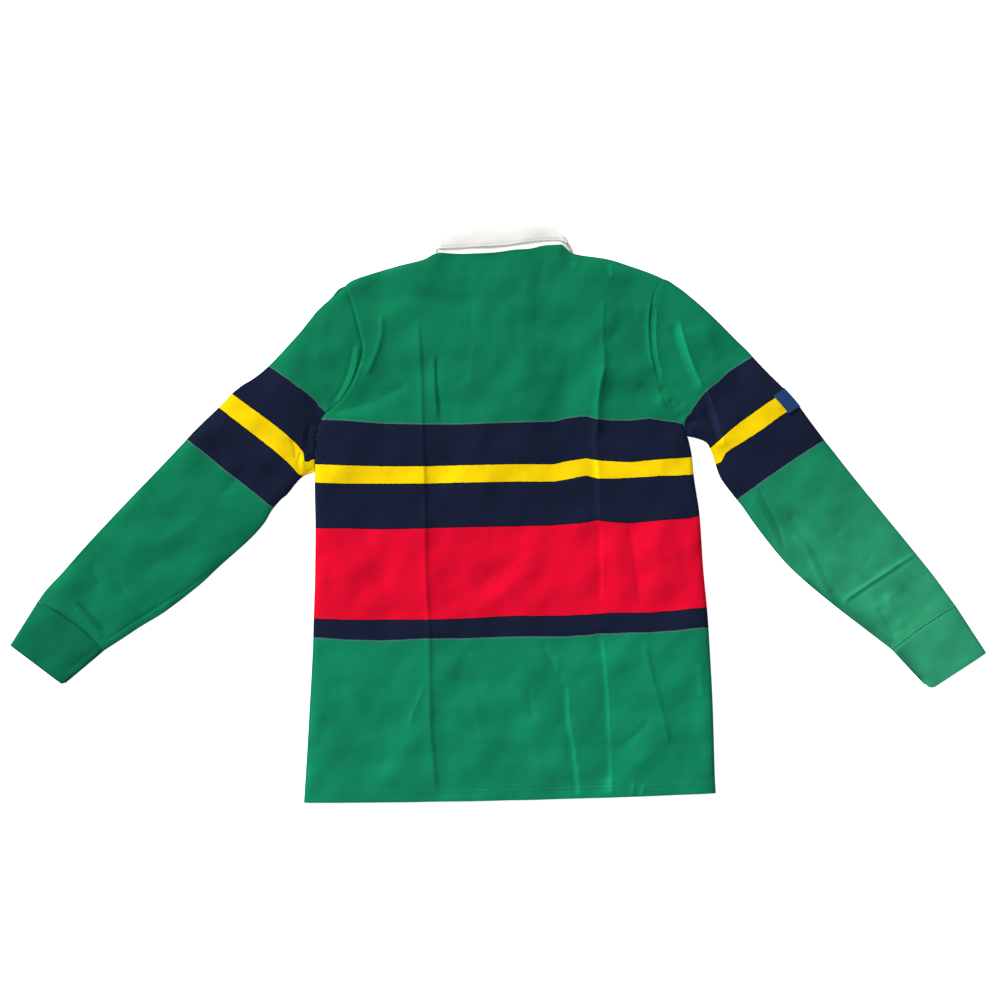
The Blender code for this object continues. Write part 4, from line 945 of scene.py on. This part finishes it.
def tube(plan, radii, cells, from_end=np.inf):
    """The faces of a flattened tube at each radius, with a ring of columns for each row.

    The ring runs along the top from the outer fold to the underarm one, and back underneath, with
    fewer columns. Also given are the way round the closed ring, in millimetres, each column's share
    of the way across and the cloth's painted light and shade.
    """
    edge = list(TURNS)
    above, beneath = ([(s, 1.0) for s in np.linspace(0, 1, n + 1)] for n in (cells, cells // 5))
    ring = [(0.0, t, 1) for t in edge] + [(s, t, 1) for s, t in above] + [(1.0, t, 1) for t in edge[::-1]]
    ring += [(1.0, t, -1) for t in edge[1:]] + [(s, t, -1) for s, t in beneath[::-1]]
    ring += [(0.0, t, -1) for t in edge[:0:-1]]
    shares = np.array([s for s, _, _ in ring])
    turns = np.array([t for _, t, _ in ring])
    layers = np.array([layer for _, _, layer in ring])
    x, y = plan(shares)
    x0, y0 = plan(np.zeros(1))
    x1, y1 = plan(np.ones(1))
    length = np.hypot(x1 - x0, y1 - y0)
    along_x, along_y = (x1 - x0) / length, (y1 - y0) / length
    rim = from_edges(x, y)
    low, high = under(x, y), upper(x, y, rim)
    lift = creased_beneath(x, y, rim, high)
    faces = []
    for radius in radii:
        inset, up = turned(1, radius, turns, low, high)
        _, down = turned(-1, radius, turns, low, high)
        inset = np.where(shares == 0, inset, np.where(shares == 1, -inset, 0))
        z = np.where(layers > 0, up, down + lift)
        faces.append(np.stack([x + inset * along_x, y + inset * along_y, z], axis=2))
    closed = np.concatenate([faces[0], faces[0][:, :1]], axis=1)
    round_it = np.cumsum(np.linalg.norm(np.diff(closed, axis=1), axis=2), axis=1)
    # Painted light and shade: along the folds of the layer that shows, and painted shade at the rim and
    # towards from_end
    tone = toned(x, y, np.minimum(rim, from_end), layers > 0)
    return faces, np.concatenate([np.zeros((len(closed), 1)), round_it], axis=1), shares, tone


def sleeve(name, side, table, lines, cloth):
    rows = np.linspace(0, table[-1].along, round(table[-1].along / SLEEVE_STEP) + 1)
    (outer, inner), round_it, shares, tone = tube(
        lambda shares: sleeve_plan(side, table, shares, rows), (FOLD_OUTSIDE, FOLD_INSIDE), SLEEVE_COLUMNS
    )
    starts = [np.interp(shares, column(lines, "share"), column(lines, f)) for f in ArmLines._fields[1:]]
    along = between_lines(rows[:, None], starts, SLEEVE_BAND_STARTS)
    along = np.concatenate([along, along[:, :1]], axis=1)
    piece = cloth_wall(name, outer, inner, round_it, along, tone, cyclic=True)
    piece.data.materials.append(cloth)
    return piece


# The right sleeve's lower green is drawn a little lighter, going whiter in blotches towards the cuff:
# painted sheen
SHEEN_GREEN = "2c9369"
sleeve_jersey = jersey("sleeve_striped_cotton_jersey", SLEEVE_BANDS)
sheened_sleeve_jersey = jersey(
    "sheened_sleeve_striped_cotton_jersey",
    SLEEVE_BANDS[:-1] + [Band(304.8, "127a55")],
    painted_sheen=PaintedSheen(306, 560, 0.9, SHEEN_GREEN),
)
sleeve_left = sleeve("left_sleeve", "left", LEFT_SLEEVE, LEFT_LINES, sleeve_jersey)
sleeve_right = sleeve("right_sleeve", "right", RIGHT_SLEEVE, RIGHT_LINES, sheened_sleeve_jersey)
for piece, replaced in ((sleeve_left, "sleeve_left"), (sleeve_right, "sleeve_right")):
    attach(piece, "root")
    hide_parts(replaced)

# The cuffs: short tubes of fine cotton rib in the sleeves' green, sewn on with the sleeve's fullness
# eased in, and folded double at their free edge.
RIB = 1.5
CUFF_LENGTH = 73.0
LEFT_CUFF_END = Arm(669, -677.5, 210, -606, 157, 0)
RIGHT_CUFF_END = Arm(669, 651, 200, 574, 149.5, 0)


def cuff(name, side, table, end, corner, cloth):
    rows = np.linspace(SEAM_GAP / CUFF_LENGTH, 1, 36)[:, None]

    def plan(shares):
        # The free edge's corner at the underarm fold is rounded off
        near = np.clip(1 - (1 - shares) * math.dist(end[1:3], end[3:5]) / corner, 0, 1)
        parts = rows * (1 - corner / CUFF_LENGTH * (1 - np.sqrt(1 - near**2)))
        from_x, from_y = arm_section(side, table[-1], shares)
        to_x, to_y = arm_section(side, end, shares)
        x, y = from_x + parts * (to_x - from_x), from_y + parts * (to_y - from_y)
        return swung(side, x, y, shares, table[-1].along + parts * CUFF_LENGTH)

    x, y = plan(np.array([0.0, 1.0]))
    EDGES.extend(list(zip(x[:, edge], y[:, edge])) for edge in (0, 1))
    radii = (FOLD_OUTSIDE, FOLD_OUTSIDE - RIB)
    # Painted shade runs along the cuff's folded edges and its free end
    (outer, inner), round_it, _, tone = tube(plan, radii, 48, (1 - rows) * CUFF_LENGTH)
    along = np.repeat(rows * CUFF_LENGTH, round_it.shape[1], axis=1)
    piece = cloth_wall(name, outer, inner, round_it, along, tone, cyclic=True)
    piece.data.materials.append(cloth)
    return piece


def rib(name, yarn):
    """Fine 1x1 cotton rib: dull, with ribs along the arm, 1.5 mm apart."""
    made = jersey(name, [Band(-40, yarn)])
    tree = made.node_tree
    ribs(tree, tree.nodes["Principled BSDF"], cloth_map(tree)[1], 0.0015)
    return made


cuff_rib = rib("cuff_cotton_rib", "06694a")
# The right cuff's rib is drawn lighter and whiter: painted sheen
sheened_cuff_rib = rib("sheened_cuff_cotton_rib", "2b9169")
cuff_left = cuff("left_cuff", "left", LEFT_SLEEVE, LEFT_CUFF_END, 4.0, cuff_rib)
cuff_right = cuff("right_cuff", "right", RIGHT_SLEEVE, RIGHT_CUFF_END, 10.0, sheened_cuff_rib)
for piece, replaced in ((cuff_left, "cuff_left"), (cuff_right, "cuff_right")):
    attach(piece, "root")
    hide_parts(replaced)

# The collar: two pieces of off-white cotton twill. The stand is sewn to the neck edge and rises from
# it, and the leaf is sewn to its upper edge, rolls over it and lies down outside it. Round the sides
# both turn under, and their fronts lie beneath the front panel.
TWILL = 1.0
Collar = namedtuple("Collar", "phi fold_x fold_y edge_x edge_y")
COLLAR_BACK = rows_of(
    Collar,
    (-90, -93.5, 757, -98, 749.5), (-66, -83, 771.5, -88, 750), (-48, -68, 778.5, -70, 750.5),
    (-30, -44, 781.5, -46, 752), (0, 0, 785.5, -4, 754.5), (30, 38, 788.5, 38, 760),
    (60, 59, 782, 67, 761), (78, 72, 770, 81, 756.5), (90, 78, 763, 87, 750),
)
COLLAR_FRONT = rows_of(
    Collar,
    (-90, -93.5, 757, -98, 749.5), (-75, -86, 747, -101, 734), (-66, -78, 732, -107, 700),
    (-30, -45, 694, -92, 641), (-4, -11, 684, -66, 606), (4, 1, 684, 56, 606), (30, 35, 694, 82, 641),
    (66, 68, 732, 97, 700), (75, 73, 750, 92, 736), (90, 78, 763, 87, 750),
)
STAND_FOLD_Z = 7.0
LEAF_STEP = 2.5
SEAM_TO_LEAF = 2.2
SIDE_TURN = (75.0, 105.0)
COLLAR_END = 176.0
# The leaf's back isn't pressed: it swells a little between the fold and its free edge, which lies
# close to the cloth
LEAF_SWELL = 0.9
LEAF_REST = 0.6


def collar_angles():
    """Round the neck from one side of the placket to the other, closest where the collar turns."""
    low, high = SIDE_TURN
    right = list(np.linspace(low, high, 21)[1:]) + list(np.linspace(high, COLLAR_END, 40)[1:])
    return np.array([-a for a in right[::-1]] + list(np.linspace(-low, low, 90)) + right)


def neck_angles():
    return np.linspace(-90, 90, 13)


def tangents(points, axis):
    """The way that a grid runs at each point: the mean of the ways to its two neighbours."""
    steps = np.diff(points, axis=axis)
    steps = steps / np.linalg.norm(steps, axis=-1, keepdims=True)
    first = np.take(steps, [0], axis=axis)
    last = np.take(steps, [-1], axis=axis)
    return np.concatenate([first, steps], axis=axis) + np.concatenate([steps, last], axis=axis)


def skin(middle, thick):
    """The two faces of a wall, half its thickness to each side of a grid of points."""
    normal = np.cross(tangents(middle, 1), tangents(middle, 0))
    normal = normal / np.linalg.norm(normal, axis=2, keepdims=True)
    return middle + normal * thick / 2, middle - normal * thick / 2


def side_share(angle):
    """0 on the collar's back, 1 on its front, and in between where it turns at the sides."""
    low, high = SIDE_TURN
    return 1 - fade(np.abs(angle) - low, high - low)


def collar_curve(angle, name):
    """One column of the collar's tables at angles that go on past the sides to the front."""
    back_part = np.clip(angle, -90, 90)
    front_part = np.sign(angle) * (180 - np.abs(angle))
    on_back = smooth(column(COLLAR_BACK, "phi"), column(COLLAR_BACK, name), back_part)
    on_front = smooth(column(COLLAR_FRONT, "phi"), column(COLLAR_FRONT, name), front_part)
    return np.where(np.abs(angle) > 90, on_front, on_back)


def neck_seam(angle):
    """The x and y of the neck's edge, a seam's gap away from the panels' own edges."""
    ends, _ = rise_of_top([NECK_X - NECK_HALF, NECK_X + NECK_HALF], [0, 0])
    across = sum(ends) / 2 + (ends[1] - ends[0]) / 2 * np.sin(np.radians(neck_angles()))
    at_top = np.stack(body_plan(across, SHOULDER, back_top), axis=1)
    at_front = np.stack(body_plan(across, SHOULDER, front_top), axis=1)[::-1]
    to_hole = np.array([[0, 1], [-1, 0]])
    top_way, front_way = tangents(at_top, 0) @ to_hole, -tangents(at_front, 0) @ to_hole
    over = (np.abs(angle) > 90)[:, None]
    back_angle = np.clip(angle, -90, 90)
    front_angle = np.clip(np.where(angle < 0, angle + 360, angle), 90, 270)

    def read(table, stations, at):
        return np.stack([np.interp(at, stations, table[:, k]) for k in (0, 1)], axis=1)

    stations = neck_angles()
    edge = np.where(over, read(at_front, stations + 180, front_angle), read(at_top, stations, back_angle))
    share = side_share(angle)[:, None]
    aside = 4 * share * (1 - share)
    way = (1 - share) * read(top_way, stations, back_angle)
    way = way + share * read(front_way, stations + 180, front_angle) + aside * np.array([0, 1.5])
    way = way / np.linalg.norm(way, axis=1, keepdims=True)
    edge = edge + way * (SEAM_GAP + 0.1 + 0.75 * TWILL * aside)
    return edge[:, 0], edge[:, 1]


def outward(angle):
    """The way from the stand to the leaf: up on the back, aside at the sides, down in front."""
    turn = side_share(angle) * math.pi
    return np.stack([np.sign(angle) * np.sin(turn), 0 * turn, np.cos(turn)], axis=-1)


def collar_fold(angle):
    """The middle of the collar's rolled upper edge, and the way that it faces."""
    x, y = collar_curve(angle, "fold_x"), collar_curve(angle, "fold_y")
    front_z = under(x, y) + JERSEY / 2
    z = STAND_FOLD_Z + side_share(angle) * (front_z - STAND_FOLD_Z)
    seam_x, seam_y = neck_seam(angle)
    facing = np.stack([x - seam_x, y - seam_y, 0 * z], axis=-1)
    facing = facing / np.linalg.norm(facing, axis=-1, keepdims=True)
    return np.stack([x, y, z], axis=-1), facing


def collar_piece(name, rows):
    """A wall of twill through the given rows, mapped round the neck and across the strip."""
    middle = np.array(rows)
    outer, inner = skin(middle, TWILL)
    u = np.cumsum(np.linalg.norm(np.diff(middle, axis=1, prepend=middle[:, :1]), axis=2), axis=1)
    v = np.cumsum(np.linalg.norm(np.diff(middle, axis=0, prepend=middle[:1]), axis=2), axis=0)
    return cloth_wall(name, outer, inner, u, v)


def collar_stand():
    angle = collar_angles()
    fold, facing = collar_fold(angle)
    top = fold - facing * (LEAF_STEP / 2 + SEAM_TO_LEAF)
    seam_x, seam_y = neck_seam(angle)
    turned_under = side_share(angle)
    seam_z = upper(seam_x, seam_y) + JERSEY / 2
    seam_z = seam_z + turned_under * (under(seam_x, seam_y) + JERSEY / 2 - seam_z)
    seam = np.stack([seam_x, seam_y, seam_z], axis=-1)
    rows = []
    for up in np.linspace(0, 1, 12):
        row = seam + up * (top - seam)
        front_z = under(row[:, 0], row[:, 1]) + JERSEY / 2
        row[:, 2] = np.where(turned_under < 1, row[:, 2], front_z)
        rows.append(row)
    return collar_piece("collar_stand_band", rows)


def collar_leaf():
    angle = collar_angles()
    fold, facing = collar_fold(angle)
    radius = LEAF_STEP / 2
    rows = []
    for roll in np.radians(np.linspace(-90, 90, 11)):
        inset = radius * (1 - math.cos(roll))
        rows.append(fold - facing * inset + outward(angle) * radius * (1 + math.sin(roll)))
    start = rows[-1]
    edge_x, edge_y = collar_curve(angle, "edge_x"), collar_curve(angle, "edge_y")
    turned_under = side_share(angle)
    rest = upper(edge_x, edge_y) + JERSEY + TWILL / 2 + LEAF_REST
    for part in np.linspace(0, 1, 25)[1:]:
        x = start[:, 0] + part * (edge_x - start[:, 0])
        y = start[:, 1] + part * (edge_y - start[:, 1])
        back_z = start[:, 2] + part * (rest - start[:, 2]) + LEAF_SWELL * 4 * part * (1 - part)
        front_z = under(x, y) + JERSEY / 2 - LEAF_STEP
        front_z = start[:, 2] + np.minimum(part * 3, 1) * (front_z - start[:, 2])
        rows.append(np.stack([x, y, back_z + turned_under * (front_z - back_z)], axis=-1))
    return collar_piece("collar_leaf_fall", rows)


def twill(name, code):
    """Cotton twill, washed but not pressed: off-white and dull, with a faint slant of ribs. They are
    0.6 mm apart on the real cloth and are drawn 1.5 mm apart."""
    values = {"Roughness": 0.88, "Specular IOR Level": 0.25, "Sheen Weight": 0.08}
    # Light goes some way through white cotton
    values |= {"Subsurface Weight": 0.35, "Subsurface Radius": (1.0, 1.0, 0.9), "Subsurface Scale": 0.003}
    made, tree, shader, place = material(name, values)
    flat, across, up = cloth_map(tree)
    patchy(tree, shader, {"Vector": place, "Scale": 22.0, "Detail": 3.0}, code, 0.95, (0.3, 0.7))
    slant = node(tree, "ShaderNodeMath", {0: across, 1: up}, operation="ADD")
    ribs(tree, shader, slant.outputs[0], 0.0015)
    crumpled(tree, shader, flat, 0.0007)
    return made


collar_twill = twill("collar_cotton_twill", "fbf9f0")
# The stand's twill is drawn whiter and faintly greener than the leaf's: painted light on the strip under
# the leaf
stand_twill_painted_lighter = twill("collar_stand_cotton_twill_painted_lighter", "fbfdf8")
stand = collar_stand()
leaf = collar_leaf()
for piece, replaced, cloth in (
    (stand, "collar_stand", stand_twill_painted_lighter),
    (leaf, "collar_leaf", collar_twill),
):
    piece.data.materials.append(cloth)
    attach(piece, "root")
    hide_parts(replaced)

# The placket: the strip of twill that the front buttons on, and its three rubber buttons. It lies
# under the shirt, against the ground.
STRIP_ROWS = 56
strip_x, strip_y = np.meshgrid(
    np.linspace(-PLACKET_HALF, PLACKET_HALF, 13) + NECK_X,
    np.linspace(PLACKET_TOP_Y - PLACKET_LENGTH, PLACKET_TOP_Y, STRIP_ROWS),
)
strip_top = under(strip_x, strip_y) - SEAM_GAP
placket = cloth_wall(
    "placket_strip",
    np.stack([strip_x, strip_y, strip_top], axis=2),
    np.stack([strip_x, strip_y, strip_top - TWILL], axis=2),
    strip_x,
    strip_y,
)
placket.data.materials.append(collar_twill)
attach(placket, "root")
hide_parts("placket")


def moulded_rubber(name, code):
    """Moulded rubber, as on a sports shirt's buttons: satin, with a fine pebble from the mould."""
    made, tree, shader, place = material(name, {"Roughness": 0.55, "IOR": 1.52})
    patchy(tree, shader, {"Vector": place, "Scale": 260.0, "Detail": 2.0}, code, 0.88)
    pebble = node(tree, "ShaderNodeTexNoise", {"Vector": place, "Scale": 2400.0, "Detail": 1.0})
    raised = node(tree, "ShaderNodeBump", {"Height": pebble, "Strength": 0.4, "Distance": 0.0001})
    tree.links.new(raised.outputs[0], shader.inputs["Normal"])
    return made


button_rubber = moulded_rubber("button_moulded_rubber", "e6e3da")
for number in (1, 2, 3):
    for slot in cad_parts[f"button_{number}"].material_slots:
        slot.material = button_rubber

# The sleeve's label: a small blue woven strip, laid over the outer fold of the right sleeve and sewn
# down all round. It is plain.
WOVEN_LABEL = 1.0
LABEL_ALONG = (212.0, 246.0)
LABEL_REACH = 18.0
LABEL_BORDER = 1.6


def sleeve_label():
    along = np.linspace(LABEL_ALONG[0], LABEL_ALONG[1], 25)
    x, y = sleeve_plan("right", RIGHT_SLEEVE, (0, 1), along)
    edge = np.stack([x[:, 0], y[:, 0]], axis=1)
    inwards = np.stack([x[:, 1], y[:, 1]], axis=1) - edge
    inwards = inwards / np.linalg.norm(inwards, axis=1, keepdims=True)
    half = SEAM_GAP + WOVEN_LABEL / 2
    radius = FOLD_OUTSIDE + half

    def at(inset):
        return (edge + inset * inwards).T

    columns = []
    reaches = np.linspace(LABEL_REACH, FOLD_OUTSIDE, 16)
    for reach in reaches:
        x, y = at(reach)
        columns.append(np.stack([x, y, upper(x, y) + JERSEY + half], axis=1))
    middle = under(*at(0)) + FOLD_OUTSIDE
    above = columns[-1][:, 2] - middle
    for turn in np.radians(np.linspace(75, -75, 11)):
        x, y = at(FOLD_OUTSIDE - radius * math.cos(turn))
        far = above if turn > 0 else radius
        columns.append(np.stack([x, y, middle + far * math.sin(turn)], axis=1))
    for reach in reaches[::-1]:
        x, y = at(reach)
        columns.append(np.stack([x, y, under(x, y) - half], axis=1))
    middle = np.stack(columns, axis=1)
    outer, inner = skin(middle, WOVEN_LABEL)
    u = np.cumsum(np.linalg.norm(np.diff(middle, axis=1, prepend=middle[:, :1]), axis=2), axis=1)
    v = np.repeat(along[:, None] - LABEL_ALONG[0], u.shape[1], axis=1)
    return cloth_wall("sleeve_woven_label", outer, inner, u, v)


def woven(name, ground, border):
    """Damask-woven polyester: a blue ground with a slight lustre and a narrow darker border. Its
    threads are 0.2 mm apart on the real label and are drawn 0.8 mm apart."""
    made, tree, shader, _ = material(name, {"Roughness": 0.5, "Specular IOR Level": 0.25})
    _, across, up = cloth_map(tree)
    half = (LABEL_ALONG[1] - LABEL_ALONG[0]) * MM / 2
    from_middle = node(tree, "ShaderNodeMath", {0: up, 1: half}, operation="SUBTRACT")
    off = node(tree, "ShaderNodeMath", {0: from_middle}, operation="ABSOLUTE")
    inputs = {0: off, 1: half - LABEL_BORDER * MM}
    border_in = node(tree, "ShaderNodeMath", inputs, operation="GREATER_THAN")
    colours = {"Fac": border_in, "Color1": dye(ground), "Color2": dye(border)}
    tree.links.new(node(tree, "ShaderNodeMixRGB", colours).outputs[0], shader.inputs["Base Color"])
    ribs(tree, shader, across, 0.0008)
    return made


label = sleeve_label()
label.data.materials.append(woven("label_woven_polyester", "153a6e", "0d2549"))
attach(label, "root")
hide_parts("sleeve_label")

# The sewing that shows: two rows of spun thread along the hem, and one beside the seam of each cuff
# and along the free edge of the collar's leaf. Each stitch is 2.5 mm of thread that dips into the
# cloth at both ends.
Stitching = namedtuple("Stitching", "pitch length radius")
PLAIN_STITCH = Stitching(3.1, 2.5, 0.28)
THICK_STITCH = Stitching(3.4, 2.6, 0.45)


def stitch_tree():
    """A row of stitches along each edge path of a mesh."""
    tree = bpy.data.node_groups.new("row_of_stitches", "GeometryNodeTree")
    for name, kind in (
        ("Geometry", "NodeSocketGeometry"),
        ("Stitch pitch", "NodeSocketFloat"),
        ("Stitch length", "NodeSocketFloat"),
        ("Thread radius", "NodeSocketFloat"),
        ("Seed", "NodeSocketInt"),
        ("Thread", "NodeSocketMaterial"),
    ):
        tree.interface.new_socket(name, in_out="INPUT", socket_type=kind)
    tree.interface.new_socket("Geometry", in_out="OUTPUT", socket_type="NodeSocketGeometry")
    given = tree.nodes.new("NodeGroupInput").outputs
    path = node(tree, "GeometryNodeMeshToCurve", {"Mesh": given["Geometry"]})
    inputs = {"Curve": path, "Length": given["Stitch pitch"]}
    places = node(tree, "GeometryNodeCurveToPoints", inputs, mode="LENGTH")
    half = node(tree, "ShaderNodeMath", {0: given["Stitch length"], 1: 0.5}, operation="MULTIPLY")
    radius = given["Thread radius"]
    size = node(tree, "ShaderNodeCombineXYZ", {"X": radius, "Y": radius, "Z": half})
    thread = node(tree, "GeometryNodeMeshUVSphere", {"Segments": 6, "Rings": 4, "Radius": 1.0})
    drawn = node(tree, "GeometryNodeTransform", {"Geometry": thread, "Scale": size})
    inputs = {"Min": (0.9, 0.9, 0.9), "Max": (1.1, 1.1, 1.08), "Seed": given["Seed"]}
    uneven = node(tree, "FunctionNodeRandomValue", inputs, data_type="FLOAT_VECTOR")
    inputs = {"Points": places, "Instance": drawn, "Rotation": places.outputs["Rotation"], "Scale": uneven}
    sewn = node(tree, "GeometryNodeInstanceOnPoints", inputs)
    real = node(tree, "GeometryNodeRealizeInstances", {"Geometry": sewn})
    done = node(tree, "GeometryNodeSetMaterial", {"Geometry": real, "Material": given["Thread"]})
    end = tree.nodes.new("NodeGroupOutput")
    tree.links.new(done.outputs[0], end.inputs["Geometry"])
    return tree


STITCHES = stitch_tree()


def sew(name, paths, stitch, thread, seed):
    """Rows of stitches along paths of points, in millimetres, as one plain mesh."""
    points, edges = [], []
    for path in paths:
        first = len(points)
        points += [((x + MIDDLE_X) * MM, (y + MIDDLE_Y) * MM, z * MM) for x, y, z in path]
        edges += [(i, i + 1) for i in range(first, len(points) - 1)]
    lines = bpy.data.meshes.new(f"{name}_lines")
    lines.from_pydata(points, edges, [])
    guide = placed(f"{name}_lines", lines)
    rows = guide.modifiers.new("stitches", "NODES")
    rows.node_group = STITCHES
    wanted = {
        "Stitch pitch": stitch.pitch * MM,
        "Stitch length": stitch.length * MM,
        "Thread radius": stitch.radius * MM,
        "Seed": seed,
        "Thread": thread,
    }
    for item in STITCHES.interface.items_tree:
        if item.item_type == "SOCKET" and item.in_out == "INPUT" and item.name in wanted:
            rows[item.identifier] = wanted[item.name]
    bpy.context.view_layer.update()
    drawn = guide.evaluated_get(bpy.context.evaluated_depsgraph_get())
    mesh = bpy.data.meshes.new_from_object(drawn)
    mesh.name = name
    bpy.data.objects.remove(guide, do_unlink=True)
    mesh.shade_smooth()
    piece = placed(name, mesh)
    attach(piece, "root")


def spun_thread(name, code):
    """Spun polyester sewing thread: slightly lustrous, with the twist of its two plies showing."""
    made, tree, shader, place = material(name, {"Roughness": 0.6})
    fibres = patchy(tree, shader, {"Vector": place, "Scale": 1800.0, "Detail": 2.0}, code, 0.8)
    twist = node(tree, "ShaderNodeBump", {"Height": fibres, "Strength": 0.5, "Distance": 0.0001})
    tree.links.new(twist.outputs[0], shader.inputs["Normal"])
    return made


def on_back(across, height, lift=0.1):
    """Points on the back's outer face."""
    x, y = body_plan(across, height, back_top)
    return np.stack([x, y, upper(x, y) + JERSEY + lift], axis=-1)


def on_sleeve(side, table, shares, along, lift=0.1):
    """Points on a sleeve's upper outer face, across it."""
    x, y = sleeve_plan(side, table, shares, [along])
    return np.stack([x[0], y[0], upper(x[0], y[0]) + JERSEY + lift], axis=-1)


green_thread = spun_thread("seam_green_thread", "0c7b55")
# The right cuff's thread is drawn lighter: painted sheen
pale_thread = spun_thread("sheened_green_thread", "59b893")
hem_share = np.linspace(0.012, 0.988, 240)
HEM_ROWS = (HEM_DEPTH + 0.6, HEM_DEPTH - 4.4)
hem_rows = [on_back(hem_share, np.full(hem_share.shape, h), 0.15) for h in HEM_ROWS]
hem_rows[1][:, 2] += HEM_EXTRA
sew("hem_stitching", hem_rows, PLAIN_STITCH, green_thread, 1)
CUFF_ROW_UP = 2.2
cuff_share = np.linspace(0.03, 0.97, 60)
for name, side, table, stitch, thread in (
    ("left_cuff_stitching", "left", LEFT_SLEEVE, PLAIN_STITCH, green_thread),
    ("right_cuff_stitching", "right", RIGHT_SLEEVE, THICK_STITCH, pale_thread),
):
    row = on_sleeve(side, table, cuff_share, table[-1].along - CUFF_ROW_UP)
    sew(name, [row], stitch, thread, 2)

LEAF_ROW_IN = 4.0
white_thread = spun_thread("collar_white_thread", "f2efe6")


def leaf_row(inset, lift):
    """A row on the outer face of the collar's leaf, beside its free edge, over the back."""
    angle = np.linspace(-74, 74, 90)
    fold, _ = collar_fold(angle)
    edge_x, edge_y = collar_curve(angle, "edge_x"), collar_curve(angle, "edge_y")
    rest = upper(edge_x, edge_y) + JERSEY + TWILL / 2 + LEAF_REST
    length = np.hypot(fold[:, 0] - edge_x, fold[:, 1] - edge_y)
    part = 1 - inset / length
    start_z = fold[:, 2] + LEAF_STEP
    z = start_z + part * (rest - start_z) + LEAF_SWELL * 4 * part * (1 - part)
    start_x, start_y = fold[:, 0], fold[:, 1]
    x, y = start_x + part * (edge_x - start_x), start_y + part * (edge_y - start_y)
    return np.stack([x, y, z + TWILL / 2 + lift], axis=-1)


sew("collar_stitching", [leaf_row(LEAF_ROW_IN, 0.1)], PLAIN_STITCH, white_thread, 3)

# The surface that it lies on, a white light table lit faintly from below, and soft light from
# overhead and from the upper left
FLOOR_SIZE = 8.0
FLOOR_Z = -0.0004
corner = FLOOR_SIZE / 2
floor_mesh = bpy.data.meshes.new("floor")
floor_mesh.from_pydata(
    [(corner * x, corner * y, FLOOR_Z) for x, y in ((-1, -1), (1, -1), (1, 1), (-1, 1))],
    [],
    [(0, 1, 2, 3)],
)
floor = placed("floor", floor_mesh)
opal = bpy.data.materials.new("floor_opal_light_table")
opal.use_nodes = True
opal_shader = opal.node_tree.nodes["Principled BSDF"]
opal_shader.inputs["Base Color"].default_value = dye("fbfbfb")
opal_shader.inputs["Roughness"].default_value = 0.9
opal_shader.inputs["Specular IOR Level"].default_value = 0.1
opal_shader.inputs["Emission Color"].default_value = dye("fbfbfb")
opal_shader.inputs["Emission Strength"].default_value = 0.8
floor_mesh.materials.append(opal)

sun = bpy.data.lights.new("window", "SUN")
sun.energy = 5.8
sun.angle = math.radians(24)
window = bpy.data.objects.new("window", sun)
window.rotation_euler = (math.radians(66), 0, math.radians(-128))
bpy.context.scene.collection.objects.link(window)
sky = bpy.data.worlds.new("soft_room")
sky.use_nodes = True
sky.node_tree.nodes["Background"].inputs["Color"].default_value = dye("fbfcff")
sky.node_tree.nodes["Background"].inputs["Strength"].default_value = 0.36
bpy.context.scene.world = sky
bpy.context.scene.view_settings.view_transform = "Standard"
